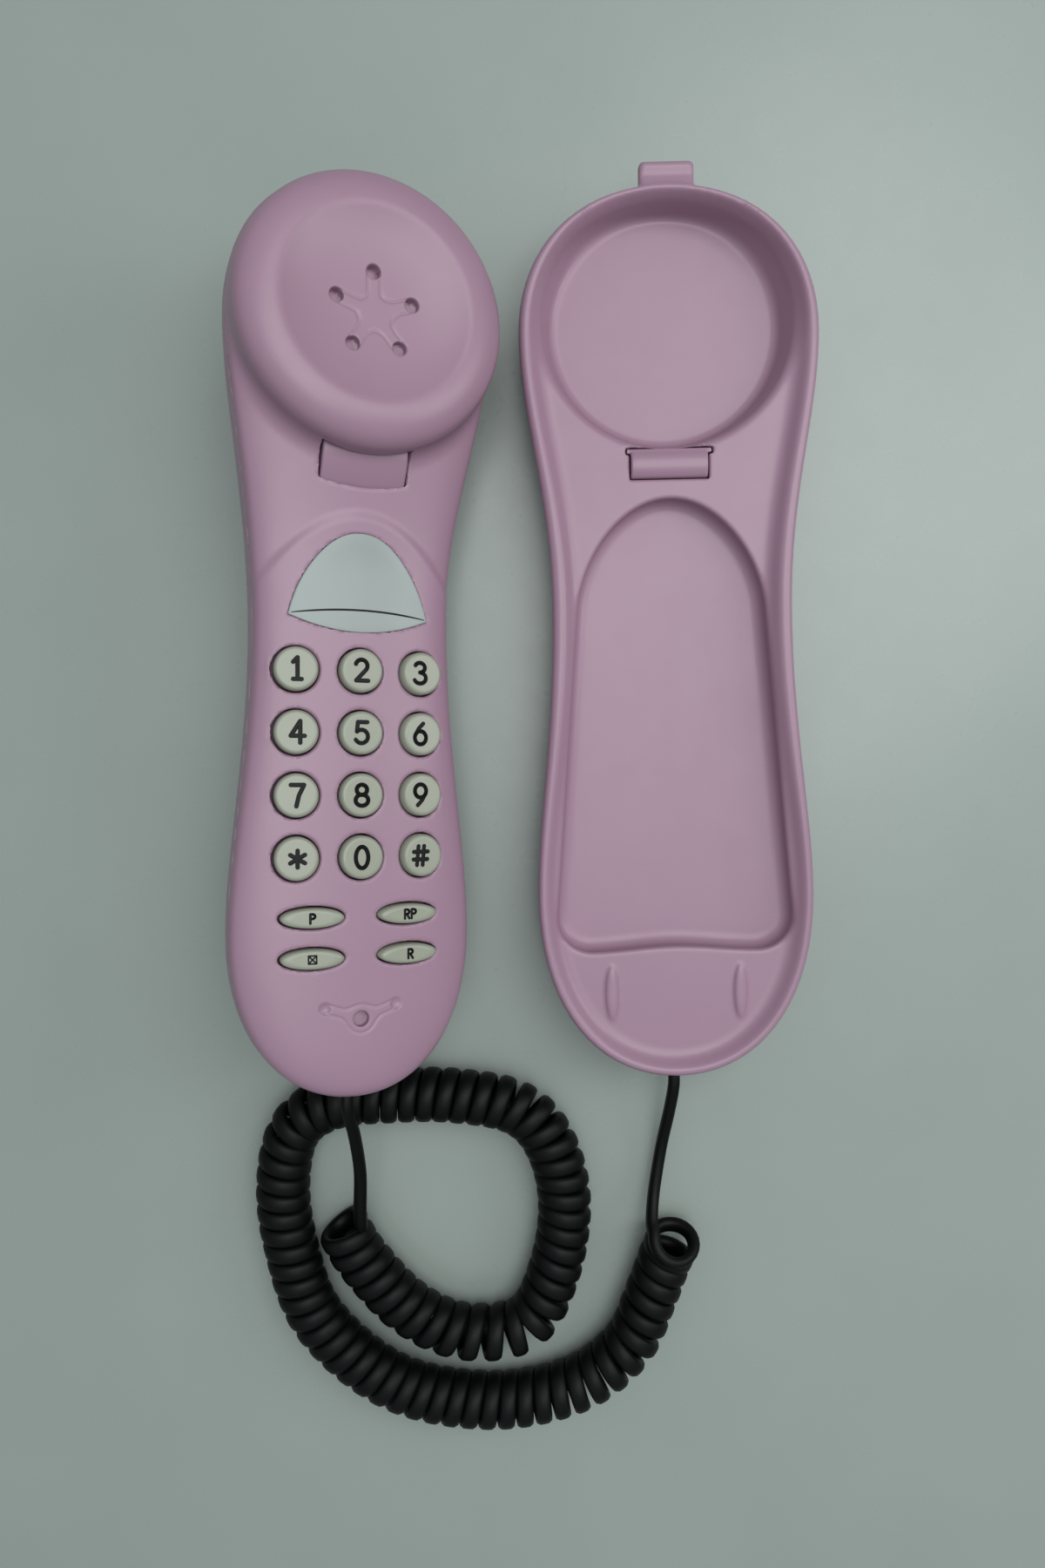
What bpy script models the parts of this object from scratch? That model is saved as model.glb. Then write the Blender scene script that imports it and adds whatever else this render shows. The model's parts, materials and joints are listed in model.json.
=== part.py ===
"""Slim two-piece keypad telephone: cradle, handset with the keypad in it, and the curly cord between them.

Metres, +Z up, +Y towards the earpiece end. The cradle and the handset lie face up side by side.
The handset is modelled in its own frame (parting line at z = 0, keypad up) and then laid on its back.
"""
import math
from collections import namedtuple

import bmesh
import bpy
from mathutils import Euler, Matrix, Vector

MM = 0.001
GAP = 0.3 * MM                      # between pieces that touch

# An outline, symmetric about the Y axis: half widths at three stations, and its two ends.
Outline = namedtuple("Outline", "top shoulder shoulder_y waist waist_y hip hip_y bottom")
END_FULLNESS = 0.6                  # 0.55 is an ellipse, more is squarer
SIDE_COUNTS = (7, 4, 4, 7)          # points on each Bezier piece of an outline's side

# ---------------------------------------------------------------- cradle
CRADLE_PLACE = Vector((33.4 * MM, -2.85 * MM, 0))
CRADLE = Outline(100 * MM, 33.3 * MM, 69 * MM, 27.2 * MM, 9 * MM, 31.8 * MM, -58 * MM, -100 * MM)
RECESS = Outline(98.6 * MM, 30.7 * MM, 69 * MM, 24 * MM, 9 * MM, 29.6 * MM, -58 * MM, -97.6 * MM)
FOOT_HEIGHT = 1.2 * MM
FOOT_RADIUS = 5 * MM
FOOT_X = 17 * MM
FOOT_UPPER_Y = 60 * MM
FOOT_LOWER_Y = -70 * MM
CRADLE_HEIGHT = 20 * MM             # table to the top of the rim
RIM_ABOVE_DECK = 3 * MM
DECK_FILLET = 1.5 * MM
CRADLE_WALL = 2.2 * MM
DECK_WALL = 2 * MM
CRADLE_DRAFT = 3.6 * MM             # how far the side leans in at its foot
CUP_RADIUS = 26 * MM                # at its floor
CUP_MOUTH_RADIUS = 29 * MM        # at the deck
CUP_Y = 71.4 * MM
CUP_DEPTH = 8 * MM                  # below the deck
CUP_FLOOR_FILLET = 2.4 * MM
HOLLOW_TOP_Y = 33.1 * MM
HOLLOW_SHOULDER = Vector((21.4 * MM, 8.4 * MM))
HOLLOW_HIP = Vector((27.3 * MM, -58 * MM))
HOLLOW_BOTTOM_Y = -70.8 * MM
HOLLOW_CORNER_RADIUS = 8 * MM
HOLLOW_DEPTH = 4.5 * MM
HOLLOW_DISH = 1 * MM                # its floor is this much lower along the middle
RIB_LENGTH = 14 * MM
RIB_WIDTH = 2.9 * MM
RIB_HEIGHT = 0.7 * MM
RIB_X = 15 * MM
RIB_Y = -80.4 * MM
LUG_WIDTH = 11.8 * MM
LUG_REACH = 5.7 * MM
LUG_THICKNESS = 3.6 * MM
COVER_THICKNESS = 1.8 * MM
COVER_GROUND_GAP = FOOT_HEIGHT + GAP
BOSS_RADIUS = 3 * MM
SCREW_RADIUS = 1.1 * MM
SCREW_HEAD_RADIUS = 2.3 * MM
SCREW_HEAD_HEIGHT = 1.1 * MM
SCREW_LENGTH = 5 * MM
CRADLE_SCREWS = ((19 * MM, 38 * MM), (-19 * MM, 38 * MM), (21.5 * MM, -60 * MM), (-21.5 * MM, -60 * MM))
KEYHOLE_YS = (24 * MM, -66 * MM)
KEYHOLE_RADIUS = 4.3 * MM
KEYHOLE_SLOT_WIDTH = 4.6 * MM
KEYHOLE_SLOT_REACH = 8.5 * MM
WEIGHT_SIZE = Vector((36 * MM, 44 * MM, 4 * MM))
WEIGHT_Y = -27 * MM

# ---------------------------------------------------------------- wall hook
HOOK_WIDTH = 17.4 * MM
HOOK_LOW_Y = 37.6 * MM
HOOK_REACH = 6.7 * MM
HOOK_DEPTH = 6 * MM                 # below the deck
HOOK_PROUD = 0.6 * MM
HOOK_EAR = 2.2 * MM
HOOK_EAR_THICKNESS = 1.8 * MM

# ---------------------------------------------------------------- jacks and the cord's plugs
PLUG_WIDTH = 7.6 * MM
PLUG_HEIGHT = 6 * MM
PLUG_LENGTH = 10 * MM
JACK_WALL = 1.6 * MM
JACK_LENGTH = 12 * MM
BOARD_THICKNESS = 1.6 * MM
JACK_FLOOR_SHARE = 0.62             # of the height left over a socket, the part under it
LINE_JACK_X = -12.4 * MM
LINE_JACK_Y = -86.5 * MM
PLUG_SHOWS = 1 * MM                 # how far a plug's boot reaches out of the shell
LINE_SOCKET_WIDTH = 9.7 * MM
LINE_SOCKET_HEIGHT = 6.6 * MM

# ---------------------------------------------------------------- handset
END_CLEARANCE = 0.6 * MM            # handset inside the cradle's recess: chin, top, shoulder, waist and hip
TOP_CLEARANCE = 1.6 * MM
SHOULDER_CLEARANCE = 2.4 * MM
WAIST_CLEARANCE = 2.6 * MM
HIP_CLEARANCE = 3.1 * MM
HANDSET = Outline(RECESS.top - TOP_CLEARANCE, RECESS.shoulder - SHOULDER_CLEARANCE, 68 * MM,
                  RECESS.waist - WAIST_CLEARANCE, 6 * MM, RECESS.hip - HIP_CLEARANCE, -62 * MM,
                  RECESS.bottom + END_CLEARANCE)
HANDSET_PLACE = Vector((-38.66 * MM, -2.95 * MM, 0))
HANDSET_ROLL = math.radians(24)
HANDSET_PITCH = math.radians(-4.1)
HANDSET_YAW = math.radians(-1.15)
FACE_HEIGHT = 8.5 * MM              # keypad face above the parting line, along the middle
FACE_CROWN_RADIUS = 100 * MM
NECK_START = 12 * MM                # the head is bent up between here
NECK_END = 68 * MM                  # and here
HEAD_LIFT = 10 * MM
BACK_DEPTH_EARPIECE = 26 * MM
BACK_DEPTH_CHIN = 22.4 * MM
SHELL_WALL = 2 * MM
SPINE_HIGH = 66 * MM
SPINE_LOW = -70 * MM
FRONT_SQUARENESS = 5
BACK_SQUARENESS = 2.4
FRONT_KEEPS = (1, 0.985, 0.96, 0.92, 0.85, 0.7, 0.4, 0)
BACK_KEEPS = (1, 0.98, 0.93, 0.85, 0.74, 0.6, 0.4, 0)
CAVITY_KEEPS = (1, 0.97, 0.89, 0.76, 0.45, 0)
DOME_RADIUS = 28.7 * MM
DOME_FOOT_RADIUS = 28.2 * MM
DOME_Y = 67 * MM
DOME_HEIGHT = 4.1 * MM              # above the face
DOME_ROUND = 7 * MM                 # across, at its edge
DOME_ROUND_DROP = 4 * MM            # and down
DOME_FOOT = 1.2 * MM                # how low its wall runs on inside the body
DISH_RADIUS = 18.8 * MM
DISH_DEPTH = 2.1 * MM
SOUND_HOLE_RADIUS = 1.45 * MM
SOUND_RING_RADIUS = 8.3 * MM
SOUND_Y = 66.4 * MM
SOUND_HOLES = 5
SOUND_TURN = math.radians(92)
MIC_Y = -79.3 * MM
MIC_HOLE_RADIUS = 1.6 * MM
MIC_DIMPLE = Vector((7.7 * MM, 2.6 * MM))
MIC_DIMPLE_RADIUS = 1.3 * MM
MIC_DIMPLE_DEPTH = 0.6 * MM

# ---------------------------------------------------------------- keys
KEY_PITCH_X = 13.6 * MM
KEY_PITCH_Y = 13.2 * MM
KEY_BLOCK_Y = -25.1 * MM
KEY_RADIUS = 4.6 * MM
KEY_CLEARANCE = 0.4 * MM
KEY_PROUD = 1.5 * MM
KEY_ROUND = 0.5 * MM
KEY_TRAVEL = 1 * MM
FLANGE_WIDTH = 0.8 * MM
FLANGE_THICKNESS = 0.8 * MM
OVAL_HALF_LENGTH = 6.6 * MM
OVAL_HALF_WIDTH = 2.1 * MM
OVAL_X = 10.4 * MM
OVAL_YS = (-57.4 * MM, -66 * MM)
KEY_NAMES = (("key_1", "key_2", "key_3"), ("key_4", "key_5", "key_6"), ("key_7", "key_8", "key_9"),
             ("key_star", "key_0", "key_hash"))
OVAL_NAMES = (("key_pause", "key_redial"), ("key_mute", "key_flash"))

# ---------------------------------------------------------------- hook-switch lever
LEVER_HALF_WIDTH = 9.1 * MM
LEVER_CLEARANCE = 0.4 * MM
LEVER_SWING_GAP = 1 * MM            # past its curved edge, where it swings
LEVER_PIN = Vector((0, 42 * MM, 4.2 * MM))   # in the handset as it is before the bend
LEVER_PIN_RADIUS = 1 * MM
LEVER_REACH = 8 * MM                # from the pin towards the keypad
LEVER_PROUD = 1.1 * MM
LEVER_THICKNESS = 1.8 * MM
LEVER_EAR = 2.2 * MM

# ---------------------------------------------------------------- inside the handset
BOARD_TOP = 0 * MM
BOARD_INSET = 3.4 * MM
BOARD_HIGH_Y = 31 * MM
BOARD_LOW_Y = -71.5 * MM
MEMBRANE_THICKNESS = 1 * MM
MEMBRANE_DOME_RADIUS = 3.6 * MM
RECEIVER_RADIUS = 15 * MM
RECEIVER_HEIGHT = 5.5 * MM
GASKET_THICKNESS = 0.8 * MM
MIC_RADIUS = 4.8 * MM
MIC_HEIGHT = 3.4 * MM
BOOT_WALL = 1 * MM
RINGER_RADIUS = 12.5 * MM
RINGER_HEIGHT = 4 * MM
RINGER_Y = -1 * MM
RINGER_SEAT = 4 * MM                # height of its seat ring above the back's inner face
BAR_SIZE = Vector((16 * MM, 36 * MM, 3.5 * MM))
BAR_Y = -34 * MM
HANDSET_SCREWS = ((20 * MM, 46.5 * MM), (-20 * MM, 46.5 * MM), (14.5 * MM, -80 * MM), (-14.5 * MM, -80 * MM))
HANDSET_JACK_DEPTH = 4.8 * MM        # from the chin's end to the jack's face
HANDSET_SCREW_DEPTH = 9 * MM        # its head's seat below the parting line
SWITCH_SIZE = Vector((6 * MM, 9 * MM, 2.6 * MM))
LABEL_TOP_Y = 23.7 * MM
LABEL_CORNER = Vector((15.2 * MM, 6.2 * MM))
LABEL_BOTTOM_Y = 2.2 * MM
LABEL_THICKNESS = 0.5 * MM
LABEL_SUNK = 0.8 * MM

# ---------------------------------------------------------------- cord
COIL_RADIUS = 6.6 * MM
TAIL_RADIUS = 1.6 * MM
COIL_ROUTE = ((-45.6, -141.6, 6.7), (-39.9, -150, 6.7), (-29.5, -163, 6.7), (-17.5, -169.5, 6.7),
              (-3.6, -166.5, 6.7), (5.6, -154, 6.7), (9, -138, 6.7), (5.5, -122.5, 6.7), (-4.6, -114, 6.7),
              (-19.4, -110.6, 6.7), (-34.4, -110.2, 6.7), (-49.3, -111.5, 6.7), (-59.8, -117.5, 6.7),
              (-63.6, -130, 6.7), (-62.6, -146, 6.7), (-55.5, -166, 6.7), (-37, -182, 6.7),
              (-13.5, -187.5, 6.7), (9, -183.5, 6.7), (22.2, -173.5, 6.7), (28.4, -160.5, 6.7),
              (31.4, -150.5, 8.2))
COIL_STEPS = 2                      # points for each stretch of the route
HANDSET_TAIL_ROUTE = ((-41.4, -112.5, 25.3), (-41.6, -122.5, 17), (-43.2, -131, 10.5))
BASE_TAIL_ROUTE = ((31.6, -113, 7.3), (29.4, -123, 3.4), (29.4, -133, 3.4), (30.8, -140.5, 6))
TAIL_STEPS = 3
TAIL_STRAIGHT = 3 * MM              # at each end

COLOURS = {
    "pink_plastic": ((0.56, 0.38, 0.50, 1), 0.35, 0),
    "ivory_plastic": ((0.62, 0.64, 0.55, 1), 0.4, 0),
    "label": ((0.66, 0.72, 0.70, 1), 0.3, 0),
    "black_cord": ((0.008, 0.008, 0.009, 1), 0.35, 0),
    "black_plastic": ((0.02, 0.02, 0.022, 1), 0.4, 0),
    "clear_plug": ((0.7, 0.72, 0.72, 1), 0.15, 0),
    "rubber": ((0.05, 0.05, 0.05, 1), 0.8, 0),
    "keypad_rubber": ((0.5, 0.5, 0.47, 1), 0.7, 0),
    "steel": ((0.45, 0.45, 0.46, 1), 0.35, 1),
    "board": ((0.05, 0.2, 0.08, 1), 0.5, 0),
}


# ---------------------------------------------------------------- collections, materials, objects
def clear_scene():
    for item in list(bpy.data.objects):
        bpy.data.objects.remove(item, do_unlink=True)


def make_collection(name):
    collection = bpy.data.collections.new(name)
    bpy.context.scene.collection.children.link(collection)
    return collection


def make_materials():
    made = {}
    for name, (colour, roughness, metallic) in COLOURS.items():
        material = bpy.data.materials.new(name)
        material.use_nodes = True
        shader = material.node_tree.nodes["Principled BSDF"]
        shader.inputs["Base Color"].default_value = colour
        shader.inputs["Roughness"].default_value = roughness
        shader.inputs["Metallic"].default_value = metallic
        made[name] = material
    return made


def add_object(name, mesh, parent):
    """A cutter: wire only, in the cutters' collection."""
    item = bpy.data.objects.new(name, mesh)
    CUTTERS.objects.link(item)
    item.display_type = "WIRE"
    item.hide_render = True
    item.parent = parent
    return item


def show(item, material, smooth_angle=40):
    """Turns a working object into a piece of the telephone."""
    CUTTERS.objects.unlink(item)
    PARTS.objects.link(item)
    item.display_type = "TEXTURED"
    item.hide_render = False
    if not item.data.materials:
        item.data.materials.append(MATERIALS[material])
        item.data.shade_smooth()
        item.data.set_sharp_from_angle(angle=math.radians(smooth_angle))
    return item


def mesh_object(name, bm, parent):
    bmesh.ops.remove_doubles(bm, verts=bm.verts, dist=0.001 * MM)
    bmesh.ops.recalc_face_normals(bm, faces=bm.faces)
    mesh = bpy.data.meshes.new(name)
    bm.to_mesh(mesh)
    bm.free()
    return add_object(name, mesh, parent)


def boolean(target, tool, operation="DIFFERENCE"):
    modifier = target.modifiers.new(tool.name, "BOOLEAN")
    modifier.operation = operation
    modifier.object = tool
    return modifier


# ---------------------------------------------------------------- shapes, added to a bmesh
def add_box(bm, low, high):
    low = Vector(low)
    high = Vector(high)
    matrix = Matrix.Translation((low + high) / 2) @ Matrix.Diagonal((*(high - low), 1))
    bmesh.ops.create_cube(bm, size=1, matrix=matrix)


def add_cylinder(bm, x, y, low, high, radius, segments=20, top_radius=None):
    matrix = Matrix.Translation((x, y, (low + high) / 2))
    bmesh.ops.create_cone(bm, cap_ends=True, segments=segments, radius1=radius,
                          radius2=radius if top_radius is None else top_radius,
                          depth=high - low, matrix=matrix)


def add_rod(bm, y, z, low_x, high_x, radius, segments=16):
    matrix = Matrix.Translation(((low_x + high_x) / 2, y, z)) @ Matrix.Rotation(math.pi / 2, 4, "Y")
    bmesh.ops.create_cone(bm, cap_ends=True, segments=segments, radius1=radius, radius2=radius,
                          depth=high_x - low_x, matrix=matrix)


def add_loft(bm, rings, cap_last=True, cap_across=False):
    """Skin through rings of equally many points; a last ring that closes on itself needs no cap.

    cap_across closes a symmetric first ring with strips from side to side, which can be bent.
    """
    rows = [[bm.verts.new(point) for point in ring] for ring in rings]
    count = len(rows[0])
    for lower, upper in zip(rows, rows[1:]):
        for index in range(count):
            after = (index + 1) % count
            bm.faces.new((lower[index], lower[after], upper[after], upper[index]))
    if cap_across:
        for index in range(count // 2):
            corners = (rows[0][index], rows[0][index + 1], rows[0][-index - 1], rows[0][-index])
            bm.faces.new(list(dict.fromkeys(corners)))
    else:
        bm.faces.new(rows[0])
    if cap_last:
        bm.faces.new(rows[-1])


def circle(x, y, radius, z, segments=40, squash=1):
    turns = [2 * math.pi * index / segments for index in range(segments)]
    return [(x + radius * math.cos(turn), y + radius * squash * math.sin(turn), z) for turn in turns]


def plate(name, points, low, high, parent):
    """A flat outline with a thickness, from a filled 2D curve."""
    curve = bpy.data.curves.new(name, "CURVE")
    curve.dimensions = "2D"
    curve.fill_mode = "BOTH"
    curve.extrude = (high - low) / 2
    spline = curve.splines.new("POLY")
    spline.points.add(len(points) - 1)
    for point, (x, y) in zip(spline.points, points):
        point.co = (x, y, 0, 1)
    spline.use_cyclic_u = True
    made = curve_to_mesh(name, curve, parent)
    for vertex in made.data.vertices:
        vertex.co.z += (low + high) / 2
    return made


def curve_to_mesh(name, curve, parent):
    source = bpy.data.objects.new(name + "_curve", curve)
    bpy.context.scene.collection.objects.link(source)
    bpy.context.view_layer.update()
    graph = bpy.context.evaluated_depsgraph_get()
    mesh = bpy.data.meshes.new_from_object(source.evaluated_get(graph))
    bm = bmesh.new()
    bm.from_mesh(mesh)
    bpy.data.meshes.remove(mesh)
    bpy.data.objects.remove(source, do_unlink=True)
    return mesh_object(name, bm, parent)


def turned(name, profile, x, y, steps, parent):
    """A profile of (radius, z), listed from top to bottom, turned about a vertical axis."""
    mesh = bpy.data.meshes.new(name)
    edges = [(index, index + 1) for index in range(len(profile) - 1)]
    mesh.from_pydata([(radius, 0, z) for radius, z in profile], edges, [])
    item = add_object(name, mesh, parent)
    item.location = (x, y, 0)
    screw = item.modifiers.new("Turn", "SCREW")
    screw.steps = steps
    screw.render_steps = steps
    screw.use_merge_vertices = True
    screw.merge_threshold = 0.001 * MM
    return item


# ---------------------------------------------------------------- outlines
def bezier(start, start_handle, end_handle, end, t):
    s = 1 - t
    place = [s ** 3 * a + 3 * s * s * t * b + 3 * s * t * t * c + t ** 3 * d
             for a, b, c, d in zip(start, start_handle, end_handle, end)]
    slope = [3 * s * s * (b - a) + 6 * s * t * (c - b) + 3 * t * t * (d - c)
             for a, b, c, d in zip(start, start_handle, end_handle, end)]
    return Vector(place), Vector(slope).normalized()


def side_pieces(form):
    """The four Bezier pieces of an outline's +X side, from its top end to its bottom end."""
    rise = form.top - form.shoulder_y
    upper = form.shoulder_y - form.waist_y
    lower = form.waist_y - form.hip_y
    drop = form.hip_y - form.bottom
    shoulder = (form.shoulder, form.shoulder_y)
    waist = (form.waist, form.waist_y)
    hip = (form.hip, form.hip_y)
    return (((0, form.top), (END_FULLNESS * form.shoulder, form.top),
             (form.shoulder, form.shoulder_y + END_FULLNESS * rise), shoulder),
            (shoulder, (form.shoulder, form.shoulder_y - 0.3 * upper),
             (form.waist, form.waist_y + 0.43 * upper), waist),
            (waist, (form.waist, form.waist_y - 0.42 * lower), (form.hip, form.hip_y + 0.27 * lower), hip),
            (hip, (form.hip, form.hip_y - END_FULLNESS * drop),
             (END_FULLNESS * form.hip, form.bottom), (0, form.bottom)))


def outline(form, inset=0):
    """The outline's points, moved in by an inset: down the +X side and up the other."""
    right = []
    for piece, count in zip(side_pieces(form), SIDE_COUNTS):
        for step in range(count):
            place, slope = bezier(*piece, step / count)
            right.append(place + inset * Vector((slope.y, -slope.x)))
    right.append(Vector((0, form.bottom + inset)))
    left = [Vector((-point.x, point.y)) for point in reversed(right[1:-1])]
    return right + left


def at_height(points, z):
    return [(point.x, point.y, z) for point in points]


def between(first, second, share):
    return [a.lerp(b, share) for a, b in zip(first, second)]


# ---------------------------------------------------------------- handset forms
def face_z(x):
    """Height of the keypad face, crowned across its width."""
    return FACE_HEIGHT - x * x / (2 * FACE_CROWN_RADIUS)


def lift(y):
    """How far the bend raises the handset's body at y."""
    share = min(max((y - NECK_START) / (NECK_END - NECK_START), 0), 1)
    return HEAD_LIFT * share * share * (3 - 2 * share)


def bend(item, pin_y=0):
    """Bends a straight piece with the body; a piece with a pin keeps its height there."""
    for vertex in item.data.vertices:
        vertex.co.z += lift(vertex.co.y + pin_y) - lift(pin_y)
    return item


def lever_pin():
    return LEVER_PIN + Vector((0, 0, lift(LEVER_PIN.y)))


def back_z(y):
    """Depth of the handset's back along its spine."""
    share = (y - SPINE_LOW) / (SPINE_HIGH - SPINE_LOW)
    share = min(max(share, 0), 1)
    return -(BACK_DEPTH_CHIN + share * (BACK_DEPTH_EARPIECE - BACK_DEPTH_CHIN))


def pillow_rings(form, inset, height, squareness, keeps):
    """Rings that climb from an outline to its spine in a superellipse; height(x, y) is signed."""
    rim = outline(form, inset)
    rings = []
    for keep in keeps:
        rise = (1 - keep ** squareness) ** (1 / squareness)
        ring = []
        for point in rim:
            spine_y = min(max(point.y, SPINE_LOW), SPINE_HIGH)
            x = point.x * keep
            y = spine_y + (point.y - spine_y) * keep
            ring.append((x, y, height(x, y) * rise))
        rings.append(ring)
    return rings


def front_rings(inset):
    keeps = CAVITY_KEEPS if inset else FRONT_KEEPS
    return pillow_rings(HANDSET, inset, lambda x, y: face_z(x) - inset, FRONT_SQUARENESS, keeps)


def back_rings(inset):
    keeps = CAVITY_KEEPS if inset else BACK_KEEPS
    return pillow_rings(HANDSET, inset, lambda x, y: back_z(y) + inset, BACK_SQUARENESS, keeps)


def shell_body(name, rings, edge_z, parent):
    """Solid pillow whose open edge is moved to edge_z, bent with the body."""
    bm = bmesh.new()
    start = [(x, y, edge_z) for x, y, z in rings[0]]
    add_loft(bm, [start] + rings[1:], cap_last=False, cap_across=True)
    return bend(mesh_object(name, bm, parent))


def drape(item):
    """Lets a flat piece follow the crown of the keypad face."""
    for vertex in item.data.vertices:
        vertex.co.z += face_z(vertex.co.x + item.location.x) - FACE_HEIGHT


# ---------------------------------------------------------------- cradle pieces
def cup_rings(grow, drop):
    """The earpiece cup; grow and drop make the outside of its wall."""
    deck = CRADLE_HEIGHT - RIM_ABOVE_DECK
    floor = deck - CUP_DEPTH - drop
    lean = CUP_MOUTH_RADIUS - CUP_RADIUS
    top = CRADLE_HEIGHT + 1 * MM
    return [circle(0, CUP_Y, CUP_RADIUS - CUP_FLOOR_FILLET + grow, floor),
            circle(0, CUP_Y, CUP_RADIUS - 0.3 * CUP_FLOOR_FILLET + grow, floor + 0.3 * CUP_FLOOR_FILLET),
            circle(0, CUP_Y, CUP_RADIUS + grow, floor + CUP_FLOOR_FILLET),
            circle(0, CUP_Y + 0.3 * lean, CUP_MOUTH_RADIUS + grow, deck),
            circle(0, CUP_Y + 0.3 * lean, CUP_MOUTH_RADIUS + 0.4 * MM + grow, top)]


def hollow_outline(inset):
    """A tall arch, straight sides that spread downwards, and round corners at the foot."""
    down = (HOLLOW_HIP - HOLLOW_SHOULDER).normalized()
    inwards = Vector((down.y, -down.x))
    rise = HOLLOW_TOP_Y - HOLLOW_SHOULDER.y
    arch = ((0, HOLLOW_TOP_Y), (END_FULLNESS * HOLLOW_SHOULDER.x, HOLLOW_TOP_Y),
            tuple(HOLLOW_SHOULDER - down * END_FULLNESS * rise), tuple(HOLLOW_SHOULDER))
    right = []
    for step in range(8):
        place, slope = bezier(*arch, step / 8)
        right.append(place + inset * Vector((slope.y, -slope.x)))
    for step in range(3):
        right.append(HOLLOW_SHOULDER.lerp(HOLLOW_HIP, step / 3) + inset * inwards)
    centre = Vector((HOLLOW_HIP.x - HOLLOW_CORNER_RADIUS, HOLLOW_BOTTOM_Y + HOLLOW_CORNER_RADIUS))
    start = math.atan2(-inwards.y, -inwards.x)
    for step in range(6):
        turn = start - (start + math.pi / 2) * step / 5
        radius = HOLLOW_CORNER_RADIUS - inset
        right.append(centre + radius * Vector((math.cos(turn), math.sin(turn))))
    right.append(Vector((0, HOLLOW_BOTTOM_Y + inset)))
    left = [Vector((-point.x, point.y)) for point in reversed(right[1:-1])]
    return right + left


def hollow_rings(grow, drop):
    """The long hollow over which the keypad hangs; its floor is dished across."""
    deck = CRADLE_HEIGHT - RIM_ABOVE_DECK
    floor = deck - HOLLOW_DEPTH - drop
    rings = [at_height(hollow_outline(-0.8 * MM - grow), deck + 0.5 * MM),
             at_height(hollow_outline(-0.2 * MM - grow), deck - 0.35 * MM),
             at_height(hollow_outline(0.3 * MM - grow), floor + 2 * MM),
             at_height(hollow_outline(1.2 * MM - grow), floor + 0.5 * MM)]
    edge = hollow_outline(2.6 * MM - grow)
    for keep in (1, 0.7, 0.35, 0):
        ring = []
        for point in edge:
            spine_y = min(max(point.y, HOLLOW_HIP.y), HOLLOW_SHOULDER.y)
            ring.append((point.x * keep, spine_y + (point.y - spine_y) * keep,
                         floor - HOLLOW_DISH * (1 - keep * keep)))
        rings.append(ring)
    return rings


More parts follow.
